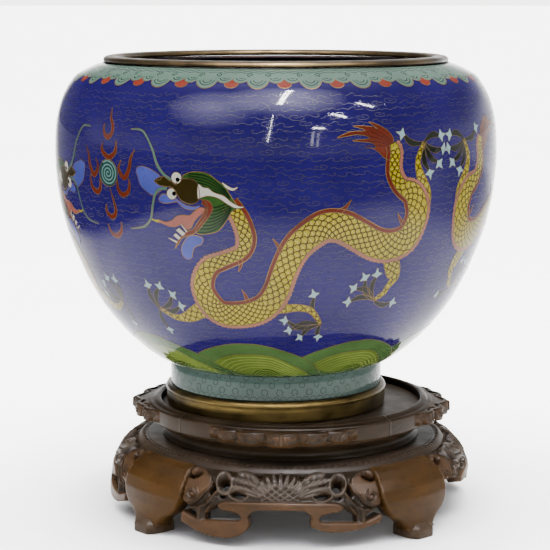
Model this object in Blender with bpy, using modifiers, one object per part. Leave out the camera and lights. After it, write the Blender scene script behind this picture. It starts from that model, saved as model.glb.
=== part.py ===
"""Cloisonne jardiniere standing on a carved four-legged wooden stand.

Millimetres in the tables below, metres in the scene. The jar's axis is the world Z axis and the
floor is Z = 0. The stand has its own axis, a little to +X, and is turned a few degrees.
"""
from math import cos, hypot, pi, radians, sin

import bpy
import bmesh
from mathutils import Matrix

MM = 0.001
STEPS = 56

# Where the jar stands on its stand.
STAND_X = 8.5
STAND_TURN = -3.6
JAR_BASE = 58.5
GAP = 0.3

# Jar, heights above its own base.
COAT = 1.2
SHEET = 1.7
MOUTH_R = 88.7
RIM_R = 97.2
BAND_R = 60.9
RING_R = 63.7
BAND_LOW = 12.3
BAND_HIGH = 25.7
BOWL_OUTSIDE = [
    (98.0, 195.1), (101.6, 193.9), (107.8, 191.1), (113.4, 187.4), (118.0, 181.0),
    (121.4, 173.5), (124.0, 163.0), (125.0, 150.0), (124.8, 137.0), (123.0, 121.0),
    (119.2, 104.0), (114.0, 89.0), (107.4, 74.0), (98.7, 59.0), (89.2, 47.0),
    (79.2, 37.2), (71.4, 31.0), (64.6, 27.0), (61.6, 26.1),
]

# Stand, heights above the floor.
TRAY_FLOOR = 58.2
LIP_TOP = 61.9
TRAY_R = 82.2
EAR_LOW = 52.6
EAR_HIGH = 59.2
EAR_LOBES = [(0.0, 92.0), (11.5, 90.4), (20.0, 88.2), (27.2, 85.6)]
LEG_HALF = 13.65
APRON_HALF = 31.2
FOOT_R = 110.4
FOOT_WIDE = 16.0
FOOT_DEEP = 18.0
FOOT_HIGH = 5.3
SKIRT_TOP = [(84.0, 30.5), (84.0, 32.4), (89.6, 32.4), (89.6, 38.0)]
APRON_IN = [(97.0, 2.0), (96.0, 10.0), (95.2, 17.0), (93.6, 24.0), (91.2, 28.6)] + SKIRT_TOP
LEG_IN = [(93.0, 2.0), (92.4, 10.0), (93.4, 17.0), (93.2, 24.0), (91.0, 28.6)] + SKIRT_TOP
APRON_OUT = [(90.6, 38.6), (95.0, 36.4), (98.7, 32.4), (101.6, 28.0), (103.2, 23.5),
             (104.4, 17.0), (105.1, 10.0), (105.6, 2.0)]
LEG_OUT = [(90.6, 38.6), (95.6, 36.6), (99.9, 32.8), (103.6, 28.0), (105.6, 22.0),
           (106.2, 16.0), (106.4, 10.0), (107.4, 2.0)]

COPPER = ("copper_sheet", (0.42, 0.20, 0.12), 0.45, 1.0)
ENAMEL = ("cobalt_enamel", (0.03, 0.03, 0.24), 0.12, 0.0)
TURQUOISE = ("turquoise_enamel", (0.16, 0.33, 0.31), 0.15, 0.0)
BRASS = ("aged_brass", (0.33, 0.21, 0.09), 0.38, 1.0)
WOOD = ("dark_hardwood", (0.075, 0.045, 0.032), 0.34, 0.0)
WOOD_WORN = ("worn_hardwood", (0.13, 0.065, 0.035), 0.38, 0.0)


def clear():
    for obj in list(bpy.data.objects):
        bpy.data.objects.remove(obj, do_unlink=True)


def material(spec):
    name, colour, rough, metal = spec
    found = bpy.data.materials.get(name)
    if found:
        return found
    made = bpy.data.materials.new(name)
    made.use_nodes = True
    shader = made.node_tree.nodes["Principled BSDF"]
    shader.inputs["Base Color"].default_value = (*colour, 1.0)
    shader.inputs["Roughness"].default_value = rough
    shader.inputs["Metallic"].default_value = metal
    return made


def collection(name, hidden=False):
    made = bpy.data.collections.new(name)
    bpy.context.scene.collection.children.link(made)
    made.hide_render = hidden
    return made


def put(name, mesh, where):
    obj = bpy.data.objects.new(name, mesh)
    where.objects.link(obj)
    return obj


def baked(obj):
    """The object's mesh with its modifiers applied."""
    graph = bpy.context.evaluated_depsgraph_get()
    graph.update()
    return bpy.data.meshes.new_from_object(obj.evaluated_get(graph))


def turned(profile, closed=True):
    """A mesh turned round Z from (radius, height) points that run down the outside."""
    mesh = bpy.data.meshes.new("profile")
    points = [(r * MM, 0.0, z * MM) for r, z in profile]
    edges = [(i, i + 1) for i in range(len(points) - 1)]
    if closed:
        edges.append((len(points) - 1, 0))
    mesh.from_pydata(points, edges, [])
    obj = put("turning", mesh, SCRAP)
    screw = obj.modifiers.new("Screw", "SCREW")
    screw.axis = "Z"
    screw.steps = STEPS
    screw.render_steps = STEPS
    screw.use_merge_vertices = True
    screw.merge_threshold = 0.00001
    screw.use_smooth_shade = True
    made = baked(obj)
    bpy.data.objects.remove(obj)
    return made


def flat_shape(loops):
    """A filled plane shape from closed loops; a loop inside another is a hole."""
    curve = bpy.data.curves.new("outline", "CURVE")
    curve.dimensions = "2D"
    curve.fill_mode = "BOTH"
    for loop in loops:
        spline = curve.splines.new("POLY")
        spline.points.add(len(loop) - 1)
        for point, (x, y) in zip(spline.points, loop):
            point.co = (x * MM, y * MM, 0.0, 1.0)
        spline.use_cyclic_u = True
    return curve


def prism(loops, low, high):
    """The loops, in plan, extruded from height low to height high."""
    curve = flat_shape(loops)
    curve.extrude = (high - low) * MM / 2
    obj = put("prism", curve, SCRAP)
    mesh = baked(obj)
    bpy.data.objects.remove(obj)
    mesh.transform(Matrix.Translation((0, 0, (low + high) * MM / 2)))
    shape = bmesh.new()
    shape.from_mesh(mesh)
    bmesh.ops.remove_doubles(shape, verts=shape.verts, dist=1e-6)
    bmesh.ops.recalc_face_normals(shape, faces=shape.faces)
    shape.to_mesh(mesh)
    shape.free()
    return mesh


def upright(loops):
    """The loops, seen from -Y as (x, z), extruded through the front of the skirt."""
    mesh = prism(loops, 60.0, 130.0)
    mesh.transform(Matrix.Rotation(pi / 2, 4, "X"))
    return mesh


def wedge(half, low=-5.0, high=90.0):
    """A sector of the stand centred on -Y, half degrees to each side."""
    far = 160.0
    side = far * sin(radians(half))
    return prism([[(0, 0), (-side, -far * cos(radians(half))), (side, -far * cos(radians(half)))]],
                 low, high)


def cutter(mesh):
    obj = put("cutter", mesh, CUTTERS)
    obj.hide_render = True
    obj.display_type = "WIRE"
    return obj


def combine(mesh, steps):
    """Applies Boolean steps (operation, mesh) one after another."""
    obj = put("blank", mesh, SCRAP)
    tools = []
    for operation, other in steps:
        tool = cutter(other)
        tools.append(tool)
        boolean = obj.modifiers.new("Boolean", "BOOLEAN")
        boolean.operation = operation
        boolean.solver = "EXACT"
        boolean.object = tool
    made = baked(obj)
    for old in [obj] + tools:
        bpy.data.objects.remove(old)
    return made


def node(name, mesh, spec, smooth=35.0):
    mesh.name = name
    mesh.materials.clear()
    mesh.materials.append(material(spec))
    obj = put(name, mesh, OBJECT)
    mesh.shade_smooth()
    mesh.set_sharp_from_angle(angle=radians(smooth))
    return obj


def on_stand(name, mesh, spec, azimuth=0.0):
    """A stand piece, made facing -Y, turned to its place."""
    obj = node(name, mesh, spec)
    obj.location = (STAND_X * MM, 0.0, 0.0)
    obj.rotation_euler = (0.0, 0.0, radians(azimuth + STAND_TURN))
    return obj


def on_jar(name, profile, spec, closed=True):
    obj = node(name, turned(profile, closed), spec)
    obj.location = (0.0, 0.0, JAR_BASE * MM)
    return obj


def inset(points, depth):
    """The outside profile moved inwards along its normals."""
    moved = []
    last = len(points) - 1
    for i, (r, z) in enumerate(points):
        r0, z0 = points[max(i - 1, 0)]
        r1, z1 = points[min(i + 1, last)]
        size = hypot(r1 - r0, z1 - z0)
        moved.append((r + depth * (z1 - z0) / size, z - depth * (r1 - r0) / size))
    return moved


def oval(x, z, wide, high, lean=0.0, count=12):
    loop = []
    for i in range(count):
        a = 2 * pi * i / count
        u = wide * cos(a)
        v = high * sin(a)
        loop.append((x + u * cos(lean) - v * sin(lean), z + u * sin(lean) + v * cos(lean)))
    return loop


def mirrored(points):
    return [(-x, z) for x, z in reversed(points)]


def jar():
    # Enamel coat: the outside skin, from under the rim to the foot.
    coat_in = inset(BOWL_OUTSIDE, COAT)
    on_jar("enamel_coat", BOWL_OUTSIDE + coat_in[::-1], ENAMEL)

    # Copper bowl: flange at the mouth, wall, flat bottom.
    sheet_out = inset(BOWL_OUTSIDE, COAT + GAP)[1:-1]
    sheet_in = inset(BOWL_OUTSIDE, COAT + GAP + SHEET)[1:-2:2]
    bowl = [(MOUTH_R + 0.6, 195.2), (96.4, 195.2), (96.9, 193.9)]
    bowl += sheet_out
    bowl += [(60.9, 27.6), (60.9, 26.1), (0.0, 26.1)]
    bowl_in = [(0.0, 28.0), (58.0, 28.0)] + sheet_in[::-1]
    bowl += bowl_in
    bowl += [(95.2, 193.4), (MOUTH_R + 0.6, 193.4), (MOUTH_R + 0.6, 195.2)]
    on_jar("copper_bowl", bowl, COPPER, closed=False)

    # Turned brass rim and foot ring, and the enamelled band between foot ring and bowl.
    on_jar("rim_ring", [
        (93.6, 199.0), (96.2, 198.5), (RIM_R, 197.4), (RIM_R, 195.5),
        (MOUTH_R, 195.5), (MOUTH_R, 198.1), (90.4, 198.9)], BRASS)
    on_jar("foot_band", [
        (BAND_R - 0.3, BAND_HIGH), (BAND_R, 22.0), (BAND_R, BAND_LOW),
        (57.5, BAND_LOW), (57.5, BAND_HIGH)], TURQUOISE)
    on_jar("foot_ring", [
        (61.4, 12.0), (62.8, 11.2), (RING_R, 9.8), (63.2, 8.0), (63.0, 1.2), (62.4, 0.0),
        (58.4, 0.0), (57.5, 1.0), (57.5, 12.0)], BRASS)
    on_jar("base_enamel", [
        (0.0, 25.7), (57.0, 25.7), (57.0, 24.6), (0.0, 24.6)], TURQUOISE, closed=False)


def tray():
    # Floor board, let into the rail.
    on_stand("tray_panel", turned([
        (0.0, TRAY_FLOOR), (74.4, TRAY_FLOOR), (74.4, 54.9), (0.0, 54.9)], closed=False), WOOD)

    # Four rail segments, each with one pierced cloud-shaped ear at its middle.
    ring = turned([
        (76.6, LIP_TOP), (78.4, 61.4), (79.4, 60.5), (81.4, 60.3), (TRAY_R, 59.6),
        (TRAY_R, 51.8), (81.2, 50.6), (71.5, 50.6), (71.5, 54.6), (74.9, 54.6),
        (74.9, 61.2), (75.6, 61.8)])
    edge = []
    lobes = sorted([(-a, r) for a, r in EAR_LOBES if a] + EAR_LOBES)
    for angle, radius in lobes:
        for step in range(-2, 3):
            a = angle + step * 1.9
            r = radius - 0.42 * step * step
            edge.append((r * sin(radians(a)), -r * cos(radians(a))))
    inner = []
    for step in range(7):
        a = radians(30.0 - 10.0 * step)
        inner.append((80.0 * sin(a), -80.0 * cos(a)))
    ear = prism([edge + inner], EAR_LOW, EAR_HIGH)
    holes = []
    for side in (-1, 1):
        a = radians(16.5 * side)
        holes.append(oval(84.4 * sin(a), -84.4 * cos(a), 5.2, 2.1, a, 14))
    saw = (GAP / 2) * 2 ** 0.5
    far = 140.0
    corner = [[(0, -saw), (far, -far - saw), (-far, -far - saw)]]
    part = combine(ring, [
        ("UNION", ear),
        ("DIFFERENCE", prism(holes, 40.0, 70.0)),
        ("INTERSECT", prism(corner, 40.0, 70.0))])
    for name, azimuth in (("front", 0), ("right", 90), ("back", 180), ("left", -90)):
        on_stand("tray_rail_" + name, part.copy(), WOOD, azimuth)
    bpy.data.meshes.remove(part)


def waist():
    on_stand("waist_ring", turned([
        (78.0, 50.3), (78.0, 49.2), (74.6, 47.6), (72.2, 45.4), (71.8, 43.2), (73.8, 41.2),
        (74.2, 40.6), (64.0, 40.6), (64.0, 50.3)]), WOOD)
    on_stand("shoulder_ring", turned([
        (84.0, 40.3), (84.5, 39.8), (85.2, 40.2), (87.4, 39.2), (88.8, 37.5), (89.2, 35.8),
        (88.9, 33.8), (87.8, 32.7), (62.0, 32.7), (62.0, 40.3)]), WOOD)


def legs():
    # Shield-faced leg: a sector of the turned skirt, sawn to its outline, on a square toe.
    half = [(24.6, 40.0), (23.6, 24.0), (22.0, 18.2), (18.8, 13.8), (14.2, 11.2),
            (11.0, 8.6), (9.4, 5.8), (8.6, 3.0)]
    outline = half + mirrored(half)
    skirt = turned(LEG_OUT + LEG_IN)
    toe = bmesh.new()
    bmesh.ops.create_cube(toe, size=1.0)
    bmesh.ops.scale(toe, vec=(FOOT_WIDE * MM, FOOT_DEEP * MM, FOOT_HIGH * MM), verts=toe.verts)
    middle = (FOOT_R - FOOT_DEEP / 2) * MM
    bmesh.ops.translate(toe, vec=(0.0, -middle, FOOT_HIGH * MM / 2), verts=toe.verts)
    bmesh.ops.bevel(toe, geom=toe.edges[:], offset=0.0007, segments=1, affect="EDGES")
    toe_mesh = bpy.data.meshes.new("toe")
    toe.to_mesh(toe_mesh)
    toe.free()
    part = combine(skirt, [
        ("INTERSECT", wedge(LEG_HALF)),
        ("INTERSECT", upright([outline])),
        ("UNION", toe_mesh)])
    for name, azimuth in (("front_left", -45), ("front_right", 45), ("back_right", 135),
                          ("back_left", -135)):
        on_stand("leg_" + name, part.copy(), WOOD_WORN, azimuth)
    bpy.data.meshes.remove(part)


def apron_half(lift):
    """Lower edge of an apron's right half, from its outer end to the middle.

    lift raises the foot of the C-scroll; with None the scroll has snapped off and only the cloud
    lip's broken edge is left.
    """
    lobe = [(58.0, 26.6), (50.0, 25.6), (43.0, 25.2), (37.0, 24.4), (34.6, 22.4), (32.0, 19.6)]
    if lift is None:
        return lobe + [(25.0, 20.0), (18.6, 19.4), (15.4, 20.6), (10.5, 21.0)]
    upper = [(26.0, 18.9), (21.6, 17.2), (23.0, 14.9), (34.0, 14.0), (44.0, 13.4), (51.0, 15.4),
             (58.0, 18.2)]
    foot = [(58.0, 12.6), (51.0, 8.9), (43.0, 5.9), (33.0, 4.6), (25.0, 5.6), (19.4, 8.6)]
    raised = [(x, z + lift * (1 - (z - 4.6) / 12)) for x, z in foot]
    return lobe + upper + raised + [(16.6, 13.0), (17.2, 17.0), (15.2, 19.6), (10.5, 21.0)]


def aprons():
    # Pierced aprons with a plain lower rail; the rail's ends turn down and out to the legs.
    openings = []
    for side in (-1, 1):
        openings.append(oval(30.4 * side, 33.0, 2.9, 3.3, 0.0, 10))
        openings.append(oval(23.4 * side, 28.7, 3.6, 1.7, 0.0, 10))
        openings.append(oval(36.6 * side, 30.4, 1.1, 3.4, 0.2 * side, 8))
        openings.append(oval(44.6 * side, 34.0, 4.6, 1.9, 0.0, 10))
        openings.append(oval(12.0 * side, 37.0, 2.6, 0.8, 0.0, 8))
    pieces = (("front", 0, 0.0, 4.0), ("right", 90, None, 1.0), ("back", 180, 1.0, 1.0),
              ("left", -90, 2.0, 2.0))
    for name, azimuth, left, right in pieces:
        outline = [(-58.0, 41.0), (58.0, 41.0)] + apron_half(right) + mirrored(apron_half(left))
        part = combine(turned(APRON_OUT + APRON_IN), [
            ("INTERSECT", wedge(APRON_HALF)),
            ("INTERSECT", upright([outline] + openings))])
        on_stand("apron_" + name, part, WOOD, azimuth)


clear()
for old in list(bpy.data.collections):
    bpy.data.collections.remove(old)
OBJECT = collection("cloisonne_jardiniere")
CUTTERS = collection("cutters", hidden=True)
SCRAP = collection("scrap")
jar()
tray()
waist()
legs()
aprons()
bpy.data.collections.remove(SCRAP)
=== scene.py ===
"""The looks of a cloisonne vase and its carved wooden stand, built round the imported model.

Tables and sizes are in millimetres; the room, its lamps and its camera are in metres. The bowl's
decoration is drawn on a chart of its outside: x runs round the widest circle from the front, y up
the wall from the foot. The aprons', legs' and ears' carving is drawn as seen from outside, x along
the skirt and z above the floor.
"""

import math
import random

import bpy
import numpy as np
from mathutils import Matrix, Vector
from mathutils.geometry import delaunay_2d_cdt


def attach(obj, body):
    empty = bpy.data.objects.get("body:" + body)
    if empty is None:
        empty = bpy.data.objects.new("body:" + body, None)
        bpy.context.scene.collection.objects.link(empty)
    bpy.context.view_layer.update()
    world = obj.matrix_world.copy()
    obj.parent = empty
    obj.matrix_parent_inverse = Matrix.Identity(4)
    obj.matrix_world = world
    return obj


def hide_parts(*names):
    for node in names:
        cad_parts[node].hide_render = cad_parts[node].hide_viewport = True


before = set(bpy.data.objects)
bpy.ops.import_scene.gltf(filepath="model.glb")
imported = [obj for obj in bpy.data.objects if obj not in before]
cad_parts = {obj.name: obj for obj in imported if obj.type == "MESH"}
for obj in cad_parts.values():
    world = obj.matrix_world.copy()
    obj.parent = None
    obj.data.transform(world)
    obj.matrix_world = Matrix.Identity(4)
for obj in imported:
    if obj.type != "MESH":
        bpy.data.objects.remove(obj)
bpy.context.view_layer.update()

MM = 0.001
STAND_X = 8.5  # the stand's axis, to the right of the vase's
STAND_TURN = -3.6  # degrees
LEG_HALF = 13.5  # degrees to each side of a leg's middle
APRON_HALF = 31.2
JAR_BASE = 58.5  # the vase's foot above the floor
BELLY_R = 125.0
ROUND = BELLY_R * 2 * math.pi
SKIN_DEPTH = 0.16  # the ground lies this far inside the CAD's enamel, under cells and wires
BOWL_OUTSIDE = [
    (61.6, 26.1), (64.6, 27.0), (71.4, 31.0), (79.2, 37.2), (89.2, 47.0), (98.7, 59.0),
    (107.4, 74.0), (114.0, 89.0), (119.2, 104.0), (123.0, 121.0), (124.8, 137.0), (125.0, 150.0),
    (124.0, 163.0), (121.4, 173.5), (118.0, 181.0), (113.4, 187.4), (107.8, 191.1),
    (101.6, 193.9), (98.0, 195.1)]


# Lines and outlines -----------------------------------------------------------------------------

def smooth(points, step=1.2, closed=False):
    """A Catmull-Rom curve through the points, at even steps; further columns go along."""
    p = np.array(points, float)
    if closed:
        p = np.vstack([p[-1], p, p[0], p[1]])
    else:
        p = np.vstack([2 * p[0] - p[1], p, 2 * p[-1] - p[-2]])
    t = np.linspace(0, 1, 12, endpoint=False)[:, None]
    spans = []
    for a, b, c, d in zip(p, p[1:], p[2:], p[3:]):
        spans.append(0.5 * (2 * b + (c - a) * t + (2 * a - 5 * b + 4 * c - d) * t ** 2
                            + (3 * b - a - 3 * c + d) * t ** 3))
    dense = np.vstack(spans + [p[-2][None]])
    return even(dense, step)


def run_along(line):
    """Length along a line at each of its points."""
    return np.concatenate([[0.0], np.cumsum(np.hypot(*np.diff(line[:, :2], axis=0).T))])


def even(line, step):
    """The line at even steps."""
    s = run_along(line)
    count = max(int(round(s[-1] / step)), 2)
    at = np.linspace(0, s[-1], count + 1)
    return np.column_stack([np.interp(at, s, column) for column in line.T])


def headings(line):
    """Unit direction of a line at each of its points."""
    t = np.gradient(line[:, :2], axis=0)
    return t / np.maximum(np.hypot(*t.T), 1e-9)[:, None]


def flipped(points, side):
    """The points, with x reversed where side is -1."""
    return [(side * q[0],) + tuple(q[1:]) for q in points]


def mirrored(points):
    """The points seen in a mirror, in reverse order, so that they carry on an outline."""
    return flipped(points[::-1], -1)


def inside(points, outline):
    """Which points lie in a closed outline."""
    x, y = points[:, 0:1], points[:, 1:2]
    a, b = outline, np.roll(outline, -1, axis=0)
    rise = np.where(b[:, 1] == a[:, 1], 1e-9, b[:, 1] - a[:, 1])
    crossing = (a[:, 1] > y) != (b[:, 1] > y)
    left = x < (b[:, 0] - a[:, 0]) * (y - a[:, 1]) / rise + a[:, 0]
    return (crossing & left).sum(axis=1) % 2 == 1


def distance(points, line, closed=False):
    """Distance from points to a line, and how far along it (0 to 1) the nearest place is."""
    ends = np.vstack([line, line[:1]]) if closed else line
    best = np.full(len(points), 1e9)
    along = np.zeros(len(points))
    run = np.hypot(*np.diff(ends, axis=0).T)
    total = max(run.sum(), 1e-9)
    passed = 0.0
    for a, b, size in zip(ends, ends[1:], run):
        d = b - a
        t = np.clip(((points - a) @ d) / max(size * size, 1e-12), 0, 1)
        gap = np.hypot(*(points - a - t[:, None] * d).T)
        nearer = gap < best
        best = np.where(nearer, gap, best)
        along = np.where(nearer, (passed + t * size) / total, along)
        passed += size
    return best, along


# Materials --------------------------------------------------------------------------------------

TONE = 0.2  # paint for a colour that the photo shows, under the studio's strong light
# Less gloss than real glass, metal and wax: the view transform turns a white studio's reflection
# milky.
GLASS_IOR = 1.115
METAL_IOR = 1.15
WAX_IOR = 1.11
WHITE, BLACK = (1, 1, 1), (0, 0, 0)


class Look:
    """A node material: one Principled shader with colour, roughness and bump from noise."""

    def __init__(self, name):
        self.material = bpy.data.materials.new(name)
        self.material.use_nodes = True
        self.tree = self.material.node_tree
        self.shader = self.tree.nodes["Principled BSDF"]
        self.where = self.node("ShaderNodeTexCoord").outputs["Object"]

    def node(self, kind, **values):
        made = self.tree.nodes.new(kind)
        for key, value in values.items():
            setattr(made, key, value)
        return made

    def wire(self, source, target):
        """Feeds a socket from a source, or sets it to a number."""
        if isinstance(source, float):
            target.default_value = source
        else:
            self.tree.links.new(source, target)

    def noise(self, scale, detail=4.0, stretch=(1.0, 1.0, 1.0), rough=0.55):
        place = self.node("ShaderNodeMapping")
        place.inputs["Scale"].default_value = stretch
        self.wire(self.where, place.inputs["Vector"])
        made = self.node("ShaderNodeTexNoise")
        made.inputs["Scale"].default_value = scale
        made.inputs["Detail"].default_value = detail
        made.inputs["Roughness"].default_value = rough
        self.wire(place.outputs["Vector"], made.inputs["Vector"])
        return made.outputs["Fac"]

    def ramp(self, source, stops):
        made = self.node("ShaderNodeValToRGB")
        ramp = made.color_ramp
        while len(ramp.elements) < len(stops):
            ramp.elements.new(0.5)
        for element, (place, colour) in zip(ramp.elements, stops):
            element.position = place
            element.color = (*colour, 1.0)
        self.wire(source, made.inputs["Fac"])
        return made.outputs["Color"]

    def mix(self, share, a, b, blend="MIX"):
        made = self.node("ShaderNodeMix", data_type="RGBA", blend_type=blend)
        self.wire(share, made.inputs["Factor"])
        self.wire(a, made.inputs["A"])
        self.wire(b, made.inputs["B"])
        return made.outputs["Result"]

    def spread(self, source, low, high, start=0.3, end=0.7):
        """Low to high as the source goes from start to end."""
        made = self.node("ShaderNodeMapRange")
        for key, value in (("From Min", start), ("From Max", end), ("To Min", low),
                           ("To Max", high)):
            made.inputs[key].default_value = value
        self.wire(source, made.inputs["Value"])
        return made.outputs["Result"]

    def sum(self, operation, a, b, clamp=False):
        """A math node of two sources or numbers."""
        made = self.node("ShaderNodeMath", operation=operation, use_clamp=clamp)
        for socket, value in zip(made.inputs, (a, b)):
            self.wire(value, socket)
        return made.outputs["Value"]

    def split(self):
        """The x, y and z of the place."""
        made = self.node("ShaderNodeSeparateXYZ")
        self.wire(self.where, made.inputs["Vector"])
        return made.outputs

    def paint(self, name):
        """A value that the mesh carries at its points."""
        return self.node("ShaderNodeAttribute", attribute_name=name).outputs["Fac"]

    def bump(self, source, depth, before=None):
        made = self.node("ShaderNodeBump")
        made.inputs["Distance"].default_value = depth
        self.wire(source, made.inputs["Height"])
        if before is not None:
            self.wire(before, made.inputs["Normal"])
        return made.outputs["Normal"]

    def finish(self, colour, rough, normal=None, **values):
        self.wire(colour, self.shader.inputs["Base Color"])
        self.wire(rough, self.shader.inputs["Roughness"])
        if normal is not None:
            self.wire(normal, self.shader.inputs["Normal"])
        for key, value in values.items():
            self.shader.inputs[key].default_value = value
        return self.material


def linear(colour):
    """A colour as the photo shows it, 0 to 255, as the paint's own under the studio's light."""
    out = []
    for c in colour:
        c /= 255
        out.append(TONE * (c / 12.92 if c <= 0.04045 else ((c + 0.055) / 1.055) ** 2.4))
    return tuple(out)


def scaled(colour, share):
    return tuple(min(c * share, 1.0) for c in colour)


def enamel(name, colour, vary=0.22, speck=0.35):
    """Polished glass enamel: cloudy colour, fine grains and pits, a clear gloss."""
    look = Look(name)
    base = linear(colour)
    cloud = look.ramp(look.noise(34.0, 5.0), [
        (0.32, scaled(base, 1 - vary)), (0.52, base), (0.7, scaled(base, 1 + vary))])
    grain = look.noise(900.0, 2.0)
    dark = look.ramp(grain, [(0.3, scaled(base, 1 - speck)), (0.36, scaled(base, 1 - speck))])
    where = look.ramp(grain, [(0.3, WHITE), (0.38, BLACK)])
    rough = look.spread(look.noise(120.0, 3.0), 0.035, 0.07)
    pits = look.bump(look.ramp(look.noise(420.0, 2.0), [(0.26, BLACK), (0.36, WHITE)]), 0.00002)
    return look.finish(look.mix(where, cloud, dark), rough, pits, IOR=GLASS_IOR)


def brass(name, colour, dull, low=0.28, high=0.5, metal=0.9):
    """Old brass: patches of brown tarnish, fine turning marks round the axis."""
    look = Look(name)
    bright, dark = linear(colour), linear(dull)
    patches = look.ramp(look.noise(45.0, 6.0, (1, 1, 2.5)), [
        (0.36, dark), (0.5, scaled(bright, 0.8)), (0.66, bright)])
    marks = look.noise(260.0, 3.0, (0.15, 0.15, 9.0))
    rough = look.spread(look.noise(80.0, 4.0), low, high)
    return look.finish(patches, rough, look.bump(marks, 0.00006), Metallic=metal, IOR=METAL_IOR)


def wood(name, dark, mid, light, low=0.3, high=0.5, grain=(1.0, 1.0, 5.0)):
    """Stained and waxed hardwood: stretched grain and pores, paler on handled edges."""
    look = Look(name)
    tone = [linear(c) for c in (dark, mid, light)]
    figure = look.noise(26.0, 6.0, grain, 0.62)
    body = look.ramp(figure, [(0.33, tone[0]), (0.5, tone[1]), (0.68, scaled(tone[1], 1.35))])
    pores = look.noise(240.0, 3.0, (grain[0], grain[1], grain[2] * 0.5))
    edge = look.node("ShaderNodeNewGeometry").outputs["Pointiness"]
    share = look.sum("ADD", look.paint("wear"), look.spread(edge, 0.0, 0.55, 0.515, 0.6), True)
    patchy = look.sum("MULTIPLY", share, look.spread(look.noise(60.0, 4.0), 0.45, 1.15), True)
    pale = look.ramp(figure, [(0.35, scaled(tone[2], 0.7)), (0.65, tone[2])])
    # Grey where the mesh's share says: dust, and on raised carving a painted highlight.
    dust_and_highlight = linear(DUST_AND_HIGHLIGHT)
    grey = look.ramp(look.noise(150.0, 4.0), [(0.35, scaled(dust_and_highlight, 0.6)), (0.65, dust_and_highlight)])
    colour = look.mix(look.paint("dust_and_highlight"), look.mix(patchy, body, pale), grey)
    shade = look.ramp(pores, [(0.3, (0.45, 0.45, 0.45)), (0.46, WHITE)])
    rough = look.spread(look.noise(70.0, 4.0), low, high)
    skin = look.bump(pores, 0.00012, look.bump(figure, 0.0002))
    return look.finish(look.mix(0.6, colour, shade, "MULTIPLY"), rough, skin, IOR=WAX_IOR)


# Pale grey of dust, also used for the painted highlight on raised carving.
DUST_AND_HIGHLIGHT = (128, 112, 96)
COBALT = enamel("cobalt", (42, 30, 106), 0.16, 0.5)
LOOKS = {
    "yellow": enamel("yellow", (178, 162, 28), 0.14, 0.3),
    "ochre": enamel("scale_brown", (84, 66, 22)),
    "shine": enamel("scale_pale", (206, 192, 84), 0.1, 0.2),
    "red": enamel("red_brown", (112, 46, 30)),
    "tuft_line": enamel("red_dark", (78, 34, 24)),
    "pink": enamel("pink", (172, 112, 92)),
    "tongue": enamel("tongue_pink", (170, 98, 84)),
    "green": enamel("mane_green", (52, 86, 36)),
    "deep_green": enamel("mane_dark_green", (24, 44, 20)),
    "olive": enamel("olive", (50, 42, 14)),
    "toe": enamel("toe_dark", (34, 38, 30)),
    "blue": enamel("periwinkle", (78, 88, 172)),
    "white": enamel("white", (214, 210, 196), 0.06, 0.1),
    "black": enamel("black", (14, 12, 12)),
    "tip": enamel("claw_turquoise", (164, 198, 202), 0.1, 0.15),
    "spiral": enamel("pearl_light", (104, 148, 138)),
    "pearl": enamel("pearl_dark", (44, 72, 72)),
    "whisker": enamel("whisker", (84, 124, 112)),
    "wave_dark": enamel("wave_green", (84, 116, 64), 0.3),
    "wave_light": enamel("wave_olive", (112, 136, 54), 0.3),
    "wave_pale": enamel("wave_pale", (160, 174, 88), 0.2),
    "wave_line": enamel("wave_line_green", (44, 70, 30)),
    "border": enamel("border_turquoise", (114, 142, 126), 0.12),
    "border_line": enamel("border_dark", (32, 58, 50), 0.12),
    "coral": enamel("coral", (160, 66, 52), 0.12),
}
FOOT_BLUE = enamel("foot_turquoise", (94, 120, 110), 0.14)
WIRE = brass("cell_wire", (134, 104, 60), (84, 62, 34), 0.3, 0.45, 0.35)
SCROLL_WIRE = brass("scroll_wire", (80, 77, 86), (58, 54, 72), 0.3, 0.45, 0.12)
RING_WIRE = brass("foot_wire", (50, 60, 54), (34, 42, 42), 0.3, 0.45, 0.3)
BRASS_RIM = brass("rim_brass", (120, 100, 68), (72, 60, 40))
BRASS_FOOT = brass("foot_brass", (128, 107, 58), (86, 70, 38))
COPPER = brass("copper_inside", (58, 46, 44), (28, 24, 34), 0.4, 0.6)
DARK_WOOD = wood("dark_wood", (36, 28, 17), (59, 46, 30), (118, 84, 52))
WORN_WOOD = wood("worn_wood", (50, 34, 12), (72, 49, 17), (101, 67, 21), 0.34, 0.52)


# Surfaces ---------------------------------------------------------------------------------------

class Chart:
    """A turned surface that flat drawing is laid on: x round it, y up its outline."""

    def __init__(self, outline, base, round_radius):
        self.r, self.h = outline[:, 0], outline[:, 1] + base
        self.s = run_along(np.column_stack([self.r, self.h]))
        self.nr = np.gradient(self.h, self.s)
        self.nh = -np.gradient(self.r, self.s)
        self.radius = round_radius

    def lay(self, xy, lift):
        """Places and normals of chart points, raised by lift."""
        a = xy[:, 0] / self.radius
        nr, nh = np.interp(xy[:, 1], self.s, self.nr), np.interp(xy[:, 1], self.s, self.nh)
        size = np.hypot(nr, nh)
        nr, nh = nr / size, nh / size
        r = np.interp(xy[:, 1], self.s, self.r) + nr * lift
        h = np.interp(xy[:, 1], self.s, self.h) + nh * lift
        place = np.column_stack([r * np.sin(a), -r * np.cos(a), h])
        normal = np.column_stack([nr * np.sin(a), -nr * np.cos(a), nh])
        return place, normal


BOWL = Chart(smooth(BOWL_OUTSIDE, 1.0), JAR_BASE, BELLY_R)
RIM_Y = BOWL.s[-1]


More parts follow.
